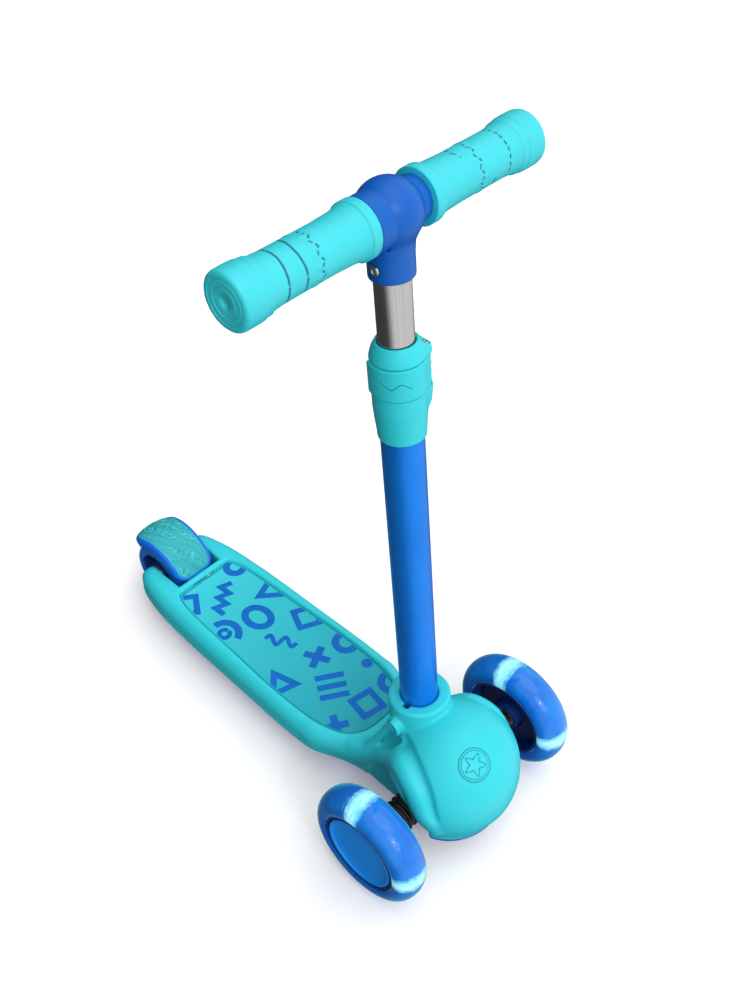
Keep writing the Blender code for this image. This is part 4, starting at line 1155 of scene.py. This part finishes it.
def truck_field(P):
    """Tilting barrel, slim arms and a ribbed boot outside each side of the nose."""
    ay = np.abs(P[:, 1])
    r = from_line(P, AXLE)
    lean, off = along_lean(P)
    form = smax(off - BARREL_R, np.abs(lean) - BARREL_HALF, 0.001)
    form = smin(form, smax(r - ARM_R, ay - ARM_END, 0.001), 0.003)
    ribs = BOOT_R + RIB_DEPTH * np.cos(2 * math.pi * (ay - FIRST_RIB) / RIB_PITCH)
    boot = smax((r - ribs) * 0.75, np.abs(ay - BOOT_MIDDLE) - BOOT_HALF, 0.002)
    form = smin(form, boot, 0.002)
    shoulder = smax(smax(r - SHOULDER_R, ay - SHOULDER_END, 0.001), SHOULDER_START - ay, 0.001)
    form = smin(form, shoulder, 0.001)
    beyond = np.maximum(ay - ARM_END, np.maximum(SHOULDER_END + GAP - ay, 0.0066 - r))
    form = smax(form, -beyond, 0.0005)
    form = np.maximum(form, -np.maximum(off - BARREL_BORE, np.abs(lean) - 0.03))
    return np.maximum(form, -np.maximum(r - AXLE_BORE, 0.0510 - ay))


net_piece("truck_body", truck_field, (AXLE[0] - 0.022, -0.090, AXLE[2] - 0.022),
          (AXLE[0] + 0.022, 0.090, AXLE[2] + 0.022), 0.0011, FINISH["black"], "truck",
          ["truck"])


# ---------------------------------------------------------------- foot brake
FENDER_R = 0.0495
FENDER_START, FENDER_END = 22.0, 143.9
FENDER_HALF = 0.0252
FENDER_WALL = 0.0026
FENDER_CROWN, FENDER_SUNK = 0.0044, 0.0020
BRAKE_PIN_R = 0.0024
FRONT_CORNER, REAR_CORNER = 0.0125, 0.0225
SHOE_R, SHOE_HALF, SHOE_WIDE, SHOE_LONG = 0.0462, 0.0018, 0.015, 0.012
HINGE_MIDDLE, HINGE_HALF = -0.0067, 0.0064
arc_half = math.radians(FENDER_END - FENDER_START) / 2 * FENDER_R
arc_mid = math.radians(FENDER_END + FENDER_START) / 2


def fender_width(u, shrink=0.0):
    """Half width, a little more at the rear than at the front."""
    return FENDER_HALF + 0.0012 * u / arc_half - shrink


def fender_corner(u, shrink=0.0):
    """Radius of the fender's corners in its outline."""
    return np.where(u > 0, REAR_CORNER, FRONT_CORNER) - shrink


def fender_plan(u, v, shrink=0.0):
    """Distance to the fender's outline, unrolled: u along its arc to the rear and v across."""
    corner = fender_corner(u, shrink)
    d1 = np.abs(u) - (arc_half - shrink) + corner
    d2 = np.abs(v) - fender_width(u, shrink) + corner
    return np.minimum(np.maximum(d1, d2), 0) + length(np.maximum(d1, 0), np.maximum(d2, 0)) - corner


def fender_crown(v):
    """How far the fender drops from its middle to its sides."""
    return FENDER_CROWN * (v / FENDER_HALF) ** 2 - FENDER_SUNK


def fender_field(P):
    """A curved, hollowed shell with a foot to its pin, a brake shoe and a recess for the tread."""
    dx, dz = P[:, 0] - REAR[0], P[:, 2] - REAR[2]
    r = length(dx, dz)
    angle = np.arctan2(dz, dx) - arc_mid
    angle = np.mod(angle + math.pi, 2 * math.pi) - math.pi
    u = angle * FENDER_R
    w = r - FENDER_R + fender_crown(P[:, 1])
    plan = fender_plan(u, P[:, 1])
    drop = 0.0062 + 0.0046 * np.cos(math.pi / 2 * np.clip(u / arc_half, -1, 1))
    body = smax(smax(plan, w, 0.0030), -(w + drop), 0.001)
    hollow = smax(plan + FENDER_WALL, w + FENDER_WALL, 0.001)
    body = smax(body, -hollow, 0.0008)
    foot = capsule(np.column_stack([dx, 0 * dx, dz]), (0.0460, 0, 0.0170),
                   (BRAKE_PIN[0] - REAR[0], 0, BRAKE_PIN[2] - REAR[2]), 0.0024, 0.0042)
    body = smin(body, np.maximum(foot, np.abs(P[:, 1] - HINGE_MIDDLE) - HINGE_HALF), 0.0015)
    shoe = np.maximum(np.abs(r - SHOE_R) - SHOE_HALF,
                      np.maximum(np.abs(P[:, 1]) - SHOE_WIDE, np.abs(dx) - SHOE_LONG))
    body = smin(body, np.maximum(shoe, -dz), 0.001)
    recess = smax(fender_plan(u, P[:, 1], 0.0034), -0.0014 - w, 0.0006)
    body = smax(body, -recess, 0.0006)
    return np.maximum(body, BRAKE_PIN_R - from_line(P, BRAKE_PIN))


net_piece("fender_body", fender_field, (REAR[0] - 0.055, -0.030, 0.034),
          (BRAKE_PIN[0] + 0.008, 0.030, REAR[2] + 0.054), 0.0010, FINISH["fender"], "brake",
          ["brake_fender"])


def insert_relief(u, v):
    """Flowing, feathery contour lines, up to 1 high."""
    bend = 0.0060 * np.sin(u * 62 + 1.1) * np.cos(v * 75 + 0.6)
    warp = 0.0034 * np.sin(u * 120 + 2.2 * np.sin(v * 130 + 0.7) + 400 * bend)
    warp = warp + 0.0016 * np.sin(v * 260 + u * 150) + 0.0007 * np.sin(u * 610 - v * 470)
    field = v * 0.75 + u * 0.50 + warp + bend
    fine = 0.5 + 0.5 * np.sin(2 * math.pi * field / 0.0024)
    broad = 0.5 + 0.5 * np.sin(2 * math.pi * (field * 0.37 + v * 0.3) / 0.0052)
    return fine * (0.40 + 0.60 * broad)


def fender_insert():
    """Soft tread in the fender: a curved sheet with a flowing relief."""
    rows, columns, shrink = 221, 97, 0.0038
    reach = arc_half - shrink
    u = reach * np.linspace(-1, 1, rows)[:, None]
    corner = fender_corner(u, shrink)
    over = np.maximum(np.abs(u) - (reach - corner), 0)
    side = np.sqrt(np.maximum(corner ** 2 - over ** 2, (0.08 * corner) ** 2))
    width = fender_width(u, shrink) - corner + side
    v = width * np.linspace(-1, 1, columns)
    fade = np.minimum(np.minimum(width - np.abs(v), reach - np.abs(u)) / 0.0015, 1)
    lift = insert_relief(u, v) * fade
    angle = arc_mid + u / FENDER_R
    upper = FENDER_R - 0.0008 + 0.0008 * lift + 0.0003 * fade - fender_crown(v)
    lower = FENDER_R - 0.0013 - fender_crown(v)
    sheets = [np.stack([REAR[0] + radius * np.cos(angle), v, REAR[2] + radius * np.sin(angle)], -1)
              for radius in (upper, lower)]
    verts = np.reshape(sheets, (-1, 3))
    top = rows * columns
    faces = grid_faces(rows, columns)
    faces += [face[::-1] for face in grid_faces(rows, columns, top)]
    border = list(range(columns)) + [i * columns + columns - 1 for i in range(1, rows)]
    border += [(rows - 1) * columns + j for j in range(columns - 2, -1, -1)]
    border += [i * columns for i in range(rows - 2, 0, -1)]
    for a, b in zip(border, border[1:] + border[:1]):
        faces.append((b, a, top + a, top + b))
    obj = add_mesh("fender_tread", verts, outward(verts, faces), FINISH["insert"], "brake",
                   ["fender_insert"], 60)
    # Painted shade: the low parts of the relief are marked to be darkened.
    cut = 0.75 * (1 - lift) * fade
    mark_painted_cut_shade(obj, np.concatenate([cut.ravel(), np.zeros(top)]))


fender_insert()


# ---------------------------------------------------------------- stem
stem_axes = axes_of(UP)
tube = [(0.0170, -0.0095), (0.0170, 0.4222), (0.0166, 0.4225), (0.0153, 0.4225), (0.0153, -0.0095)]
turned_piece("stem_tube_skin", tube, FOOT, stem_axes, FINISH["tube"], "stem", "blue_paint",
             ["stem_tube"], looped=True, steps=96)
slider = [(0.0120, 0.1500), (0.0131, 0.1500), (0.0135, 0.1505), (0.0135, 0.5110),
          (0.0132, 0.5115), (0.0120, 0.5115)]
turned_piece("slider_skin", slider, FOOT, stem_axes, FINISH["aluminium"], "bar",
             "brushed_aluminium", ["inner_tube"], looped=True, steps=96)


# ---------------------------------------------------------------- quick-release clamp
PIN_TURN = math.radians(55)
PIN_OUT = 0.0205
LEVER_LOW, LEVER_HIGH = 0.3880, 0.4145
LEVER_MIDDLE, LEVER_HALF = (LEVER_LOW + LEVER_HIGH) / 2, (LEVER_HIGH - LEVER_LOW) / 2
LEVER_START, LEVER_END = 50.0, -128.0     # degrees round the stem from its front
MARK_TURN = -52                           # where the wave on the lever is
LEVER_INNER_R, LEVER_OUTER_R, KNUCKLE_R = 0.0190, 0.0215, 0.0036
CLAMP_BORE, CLAMP_SEAT, SLIDER_HOLE = 0.0164, 0.4230, 0.01415
LUG_R, LUG_MIDDLE, LUG_HALF = 0.0044, 0.397, 0.0245
PIN_R, PIN_HEAD_R = 0.0017, 0.0030
CLAMP_SIDE = [(0.0164, 0.3460), (0.0183, 0.3460), (0.0187, 0.3465), (0.0190, 0.3520),
              (0.0199, 0.3620), (0.0207, 0.3740), (0.0207, 0.4170), (0.0192, 0.4225),
              (0.0165, 0.4280), (0.0150, 0.4290), (0.0143, 0.4285), (0.0143, 0.4232),
              (0.0164, 0.4232)]
clamp_section = Outline(CLAMP_SIDE, margin=0.012, step=0.0004)


def stem_polar(P):
    """Radius, place along the stem, and the two parts of the radius: to the front and the left."""
    q = P - FOOT
    a, b = q @ FORWARD, q[:, 1]
    return length(a, b), q @ UP, a, b


pin_a, pin_b = PIN_OUT * math.cos(PIN_TURN), PIN_OUT * math.sin(PIN_TURN)


def from_angle(a, b, at):
    """Degrees round the stem from a given angle, between -180 and 180."""
    return np.mod(np.degrees(np.arctan2(b, a)) - at + 180, 360) - 180


def clamp_field(P):
    """Tapered collar with a lug for the pin and a shallow seat for the lever."""
    r, s, a, b = stem_polar(P)
    pin = length(a - pin_a, b - pin_b)
    taper = np.clip((0.386 - s) / 0.020, 0, 1) * 0.003
    lug = smax(pin - LUG_R + taper, np.abs(s - LUG_MIDDLE) - LUG_HALF, 0.002)
    bore = np.maximum(r - CLAMP_BORE, s - CLAMP_SEAT)
    form = smin(clamp_section(r, s), np.maximum(lug, -bore), 0.007)
    form = np.maximum(np.maximum(form, -bore), SLIDER_HOLE - r)
    round_lever = np.abs(from_angle(a, b, (LEVER_START + LEVER_END + 1) / 2)) \
        - (LEVER_START - LEVER_END + 11) / 2
    height = np.abs(s - LEVER_MIDDLE) - LEVER_HALF - 0.0006
    seat = np.maximum(np.maximum(LEVER_INNER_R - GAP - r, height), np.radians(round_lever) * 0.02)
    form = smax(form, -seat, 0.0003)
    form = np.maximum(form, -np.maximum(pin - KNUCKLE_R - 0.001, height))
    form = np.maximum(form, -np.maximum(pin - PIN_HEAD_R, 0.4208 - s))
    return np.maximum(form, -np.maximum(pin - PIN_R, 0.3750 - s))


def stem_box(reach, low, high):
    """World box round a length of the stem."""
    a, b = on_stem(low), on_stem(high)
    return np.minimum(a, b) - reach, np.maximum(a, b) + reach


low, high = stem_box(0.0275, CLAMP_SIDE[0][1], 0.4290)
net_piece("clamp_collar", clamp_field, low, high, 0.0008, FINISH["clamp"], "stem",
          ["clamp_body"])


def lever_field(P):
    """A band round the clamp, thicker at its tip, with a knuckle on the pin."""
    r, s, a, b = stem_polar(P)
    start = LEVER_START - 12
    span = (start - LEVER_END) / 2
    turn = from_angle(a, b, (start + LEVER_END) / 2)
    away = np.radians(np.abs(turn) - span) * 0.0205
    outer = r - LEVER_OUTER_R - 0.0012 * np.clip(turn / -span, 0, 1) ** 6
    height = np.abs(s - LEVER_MIDDLE) - LEVER_HALF
    band = smax(smax(outer, height, 0.0012), smax(LEVER_INNER_R - r, away, 0.0008), 0.0006)
    pin = length(a - pin_a, b - pin_b)
    knuckle = smax(pin - KNUCKLE_R, height, 0.0006)
    bridge = np.radians(np.abs(from_angle(a, b, LEVER_START - 8)) - 9) * 0.02
    bridge = smax(np.maximum(np.abs(r - 0.0207) - 0.0016, height), bridge, 0.0005)
    form = smin(smin(band, bridge, 0.0008), knuckle, 0.0010)
    return np.maximum(form, PIN_R - pin)


low, high = stem_box(0.0275, LEVER_LOW, LEVER_HIGH)
lever = net_piece("clamp_lever_band", lever_field, low, high, 0.0008, FINISH["clamp"], "lever",
                  ["clamp_lever"])


def wave_mark(P):
    """A plain wave on the outside of the lever."""
    r, s, a, b = stem_polar(P)
    across = np.radians(from_angle(a, b, MARK_TURN)) * LEVER_OUTER_R
    course = LEVER_MIDDLE + 0.0022 * np.sin(across / 0.0026)
    inside = np.clip((0.0125 - np.abs(across)) / 0.0004, 0, 1)
    return line_mask(np.abs(s - course), 0.00035) * inside * (r > 0.0205)


mark_way = math.cos(math.radians(MARK_TURN)) * FORWARD \
    + math.sin(math.radians(MARK_TURN)) * np.array([0, 1, 0])
# The wave is pushed in and darkened with painted shade.
engrave(lever, wave_mark, 0.00035, on_stem(LEVER_MIDDLE) + mark_way * LEVER_OUTER_R, 0.0140,
        mark_way, cuts=1)


# ---------------------------------------------------------------- handlebar
HEAD_LOW, HEAD_SCREW, SLIDER_TOP = 0.4804, 0.490, 0.5120
BALL_R, HEAD_BORE, SLIDER_BORE = 0.0242, 0.01137, 0.0137


def head_field(P):
    """Ball joint: a round body on a short neck, with a sleeve out to each grip."""
    r, s, a, b = stem_polar(P)
    away = length(a, s - BAR_S)
    ball = length(a, s - BAR_S, b) - BALL_R
    sleeve_r = np.where(b > 0, 0.0165, 0.0205)
    sleeve_end = np.where(b > 0, 0.0259, 0.0256)
    sleeves = smax(away - sleeve_r, np.abs(b) - sleeve_end, 0.0010)
    neck_r = 0.0168 + 0.0016 * np.clip((s - 0.496) / 0.016, 0, 1) ** 1.5
    neck = smax(r - neck_r, np.maximum(HEAD_LOW - s, s - BAR_S), 0.0015)
    form = smin(smin(ball, neck, 0.0030), sleeves, 0.0008)
    seam = np.maximum(length(away - 0.0214, b + 0.0132) - 0.0009, 0.506 - s)
    form = smax(form, -seam, 0.0006)
    form = np.maximum(form, HEAD_BORE - away)
    form = np.maximum(form, -np.maximum(r - SLIDER_BORE, s - SLIDER_TOP))
    screw = np.maximum(length(a, s - HEAD_SCREW) - 0.0048, 0.0156 + b)
    return np.maximum(form, -screw)


low, high = stem_box(0.0275, HEAD_LOW, BAR_S)
net_piece("t_head_skin", head_field, low, high, 0.0008, FINISH["head"], "bar",
          ["t_head"])

GRIP_START, GRIP_END = 0.0262, 0.1406
GRIP_SIDE = [(GRIP_START, 0.0205), (0.0270, 0.0211), (0.0340, 0.0211), (0.0346, 0.0200),
             (0.0380, 0.0190), (0.0450, 0.0184), (0.0600, 0.0178), (0.0900, 0.0178),
             (0.1060, 0.0179), (0.1120, 0.0183), (0.1165, 0.0190), (0.1172, 0.0198),
             (0.1225, 0.0200), (0.1232, 0.0207), (0.1300, 0.0209), (0.1306, 0.0206),
             (0.1314, 0.0209), (0.1375, 0.0208), (0.1395, 0.0203), (GRIP_END, 0.0192)]
GRIP_FACE = [(0.1410, 0.0186), (0.1410, 0.0162), (0.1404, 0.0158), (0.1404, 0.0150),
             (0.1410, 0.0146), (0.1410, 0.0112), (0.1404, 0.0108), (0.1404, 0.0101),
             (0.1409, 0.0097), (0.1409, 0.0042), (0.1404, 0.0036), (0.1380, 0.0030)]
GRIP_BORE = [(0.1338, 0.0114), (GRIP_START, 0.0114)]


def grip(side, sign):
    """Soft grip: a flange, a waisted body with engraved lines, and a stepped end."""
    columns = 144
    heights = np.arange(GRIP_START, GRIP_END, 0.0004)
    radii = np.interp(heights, *np.transpose(GRIP_SIDE))
    angles = np.linspace(0, 2 * math.pi, columns, endpoint=False)
    H, A = np.meshgrid(heights, angles, indexing="ij")

    def line(at, jag, count, phase, start=0.0, end=2 * math.pi, dashes=0):
        """A line round the grip that zigzags, runs between two angles, and may be dashed."""
        course = at + jag * (np.abs(np.mod(A * count / math.pi + phase, 2) - 1) - 0.5)
        mask = line_mask(np.abs(H - course), 0.00055, 0.0004)
        mask *= np.clip((end - start) / 2 - np.abs(np.mod(A - (start + end) / 2 + math.pi,
                                                          2 * math.pi) - math.pi), 0, 0.05) / 0.05
        if dashes:
            mask *= np.mod(A * dashes / (2 * math.pi), 1) < 0.62
        return mask

    mark = length((A - 2.2) * 0.018, H - 0.050)
    crescent = np.maximum(np.abs(mark - 0.0022) - 0.0003, np.where((A - 2.2) > 0.02, 0.01, -1))
    cut = np.maximum.reduce([
        line(0.1040, 0.0016, 2, 0.3, dashes=0 if sign < 0 else 22),
        line(0.0895, 0.0012, 3, 0.9, *((0, 6.28) if sign < 0 else (0.4, 2.6))),
        line(0.0755, 0.0034, 11, 0.2, dashes=26),
        line(0.0640, 0.0060, 3, 0.5, 3.4, 5.2, 16),
        np.clip(-crescent / 0.0002, 0, 1),
    ])
    bumps = 0.00035 * (np.abs(H - 0.0790) < 0.0022) * (np.mod(A * 14 / math.pi, 2) < 0.7)
    body = radii[:, None] - 0.0006 * cut + bumps
    R = np.vstack([np.full((1, columns), r) for _, r in GRIP_BORE] + [body]
                  + [np.full((1, columns), r) for _, r in GRIP_FACE])
    out = [h for h, _ in GRIP_BORE] + list(heights) + [h for h, _ in GRIP_FACE]
    way = np.array([0, sign, 0], float)
    e1, e2 = FORWARD, np.cross(way, FORWARD)
    verts = BAR + np.repeat(out, columns)[:, None] * way \
        + (R * np.cos(angles)).reshape(-1, 1) * e1 + (R * np.sin(angles)).reshape(-1, 1) * e2
    faces = grid_faces(len(out), columns, wrap=True)
    faces.append(tuple(range(columns))[::-1])
    faces.append(tuple(range(len(verts) - columns, len(verts))))
    obj = add_mesh(f"grip_{side}_skin", verts, outward(verts, faces), FINISH["grip"], "bar",
                   [f"grip_{side}"], 50)
    # The grip's cuts, which the finish darkens as painted shade.
    cuts = np.zeros(R.shape)
    cuts[len(GRIP_BORE):len(GRIP_BORE) + len(heights)] = cut
    mark_painted_cut_shade(obj, cuts.ravel())


grip("left", 1)
grip("right", -1)


# ---------------------------------------------------------------- screws, pin and button
def lobes(r, h, angle):
    """The screw's radius, with six lobes in its socket."""
    return r * (1 + 0.16 * math.cos(6 * angle)) if r < 0.0017 and h > 0.012 else r


turned_piece("head_screw_skin", eased([(0.0, 0.0166), (0.0013, 0.0166), (0.0016, 0.0178),
                                       (0.0032, 0.0175), (0.0042, 0.0166), (0.0042, 0.0160),
                                       (0.0022, 0.0160), (0.0022, 0.0095), (0.0, 0.0095)], 0.0003, 2),
             on_stem(HEAD_SCREW), axes_of((0, -1, 0), UP), FINISH["steel"], "bar", "steel",
             ["head_screw"], steps=72, shape=lobes)
pin_origin = FOOT + FORWARD * pin_a + np.array([0, pin_b, 0])
turned_piece("clamp_pin_skin", eased([(0.0, 0.4226), (0.0008, 0.4226), (0.0010, 0.4228),
                                      (0.0022, 0.4227), (0.0026, 0.4221), (0.0026, 0.4213),
                                      (0.0014, 0.4213), (0.0014, 0.3760), (0.0, 0.3760)], 0.0002, 2),
             pin_origin, stem_axes, FINISH["steel"], "stem", "steel", ["clamp_pin"], steps=48)
turned_piece("button_skin", eased([(0.0, 0.0098), (0.0026, 0.0098), (0.0026, 0.0040),
                                   (0.0056, 0.0040), (0.0056, 0.0006), (0.0050, 0.0),
                                   (0.0040, 0.0), (0.0036, 0.0006), (0.0, 0.0009)], 0.0003, 2),
             BUTTON, across_axes, FINISH["button"], "button", "navy_plastic", ["release_button"],
             steps=64)


# ---------------------------------------------------------------- finishes of the kept CAD nodes
KEPT = {
    "steel": ["axle", "bearing", "screw", "pin", "kingpin", "spacer", "sleeve", "nut", "handlebar"],
    "dark_steel": ["spring"],
    "black": ["bush", "guide"],
    "board": ["light_ring"],
}
for name, obj in CAD.items():
    for finish, words in KEPT.items():
        if any(word in name for word in words):
            obj.data.materials.clear()
            obj.data.materials.append(FINISH[finish])
            break

# ---------------------------------------------------------------- floor, light and camera
def studio_white(name, scale, glow):
    """Nearly even white that also shines a little."""
    m = Finish(name, Roughness=0.9, Emission_Color=(1.0, 1.0, 1.0, 1.0), Emission_Strength=glow)
    m.set("Base Color", m.mix(m.cloud(scale, 2.0), (0.93, 0.93, 0.93), (0.95, 0.95, 0.95)))
    m.relief(m.noise(40.0, 2.0), distance=0.0001, strength=0.05)
    return m.material


def studio_object(name, mesh, material):
    """A floor or backdrop that the scooter isn't mirrored in or lit by."""
    mesh.materials.append(material)
    obj = bpy.data.objects.new(name, mesh)
    bpy.context.scene.collection.objects.link(obj)
    obj.visible_diffuse = obj.visible_glossy = False
    return obj


FLOOR_HALF = 6.0
floor_mesh = bpy.data.meshes.new("floor")
floor_mesh.from_pydata([(x * FLOOR_HALF, y * FLOOR_HALF, 0)
                        for x, y in ((-1, -1), (1, -1), (1, 1), (-1, 1))], [], [(0, 1, 2, 3)])
floor = studio_object("floor", floor_mesh, studio_white("studio_floor", 3.0, 0.12))

# A white dome round the studio, which only the camera sees.
dome_mesh = bpy.data.meshes.new("backdrop")
bm = bmesh.new()
bmesh.ops.create_icosphere(bm, subdivisions=4, radius=30.0)
bm.to_mesh(dome_mesh)
bm.free()
dome = studio_object("backdrop", dome_mesh, studio_white("studio_backdrop", 0.2, 1.0))
dome.visible_transmission = dome.visible_shadow = False

world = bpy.data.worlds.new("studio")
world.use_nodes = True
sky = world.node_tree
direction = sky.nodes.new("ShaderNodeTexCoord")
toward = sky.nodes.new("ShaderNodeVectorMath")
toward.operation = "DOT_PRODUCT"
toward.inputs[1].default_value = (0.80, 0.20, 0.56)        # the bright side of the studio
glow = sky.nodes.new("ShaderNodeMapRange")
glow.interpolation_type = "SMOOTHSTEP"
for socket, value in (("From Min", -0.35), ("From Max", 0.35), ("To Min", 0.07), ("To Max", 1.05)):
    glow.inputs[socket].default_value = value
sky.nodes["Background"].inputs["Color"].default_value = (1.0, 1.0, 1.0, 1.0)
sky.links.new(direction.outputs["Generated"], toward.inputs[0])
sky.links.new(toward.outputs["Value"], glow.inputs["Value"])
sky.links.new(glow.outputs["Result"], sky.nodes["Background"].inputs["Strength"])
scene = bpy.context.scene
scene.world = world
scene.view_settings.view_transform = "Standard"


def soft_sun(name, azimuth, elevation, spread, strength):
    """A wide, even light from far away."""
    a, e = math.radians(azimuth), math.radians(elevation)
    offset = Vector((math.cos(a) * math.cos(e), math.sin(a) * math.cos(e), math.sin(e)))
    lamp = bpy.data.lights.new(name, "SUN")
    lamp.angle = math.radians(spread)
    lamp.energy = strength
    obj = bpy.data.objects.new(name, lamp)
    obj.rotation_euler = (-offset).to_track_quat("-Z", "Y").to_euler()
    scene.collection.objects.link(obj)


soft_sun("key", -18, 40, 34, 0.50)
soft_sun("top", 40, 80, 50, 0.60)
soft_sun("glint", -18, 42, 5, 0.22)

CAMERA_AT = (0.5594, -0.5064, 1.0421)
camera_data = bpy.data.cameras.new("camera")
camera_data.sensor_width = 36.0
camera_data.lens = 43.008
camera = bpy.data.objects.new("camera", camera_data)
scene.collection.objects.link(camera)
camera_yaw, camera_pitch, camera_roll = math.radians(133.57), math.radians(-45.05), 0.0103
ahead = Vector((math.cos(camera_pitch) * math.cos(camera_yaw),
                math.cos(camera_pitch) * math.sin(camera_yaw), math.sin(camera_pitch)))
right = ahead.cross(Vector((0, 0, 1))).normalized()
above = right.cross(ahead)
c, s = math.cos(camera_roll), math.sin(camera_roll)
across, upward = c * right + s * above, c * above - s * right
turn = Matrix((across, upward, -ahead)).transposed()
camera.matrix_world = Matrix.Translation(CAMERA_AT) @ turn.to_4x4()
scene.camera = camera
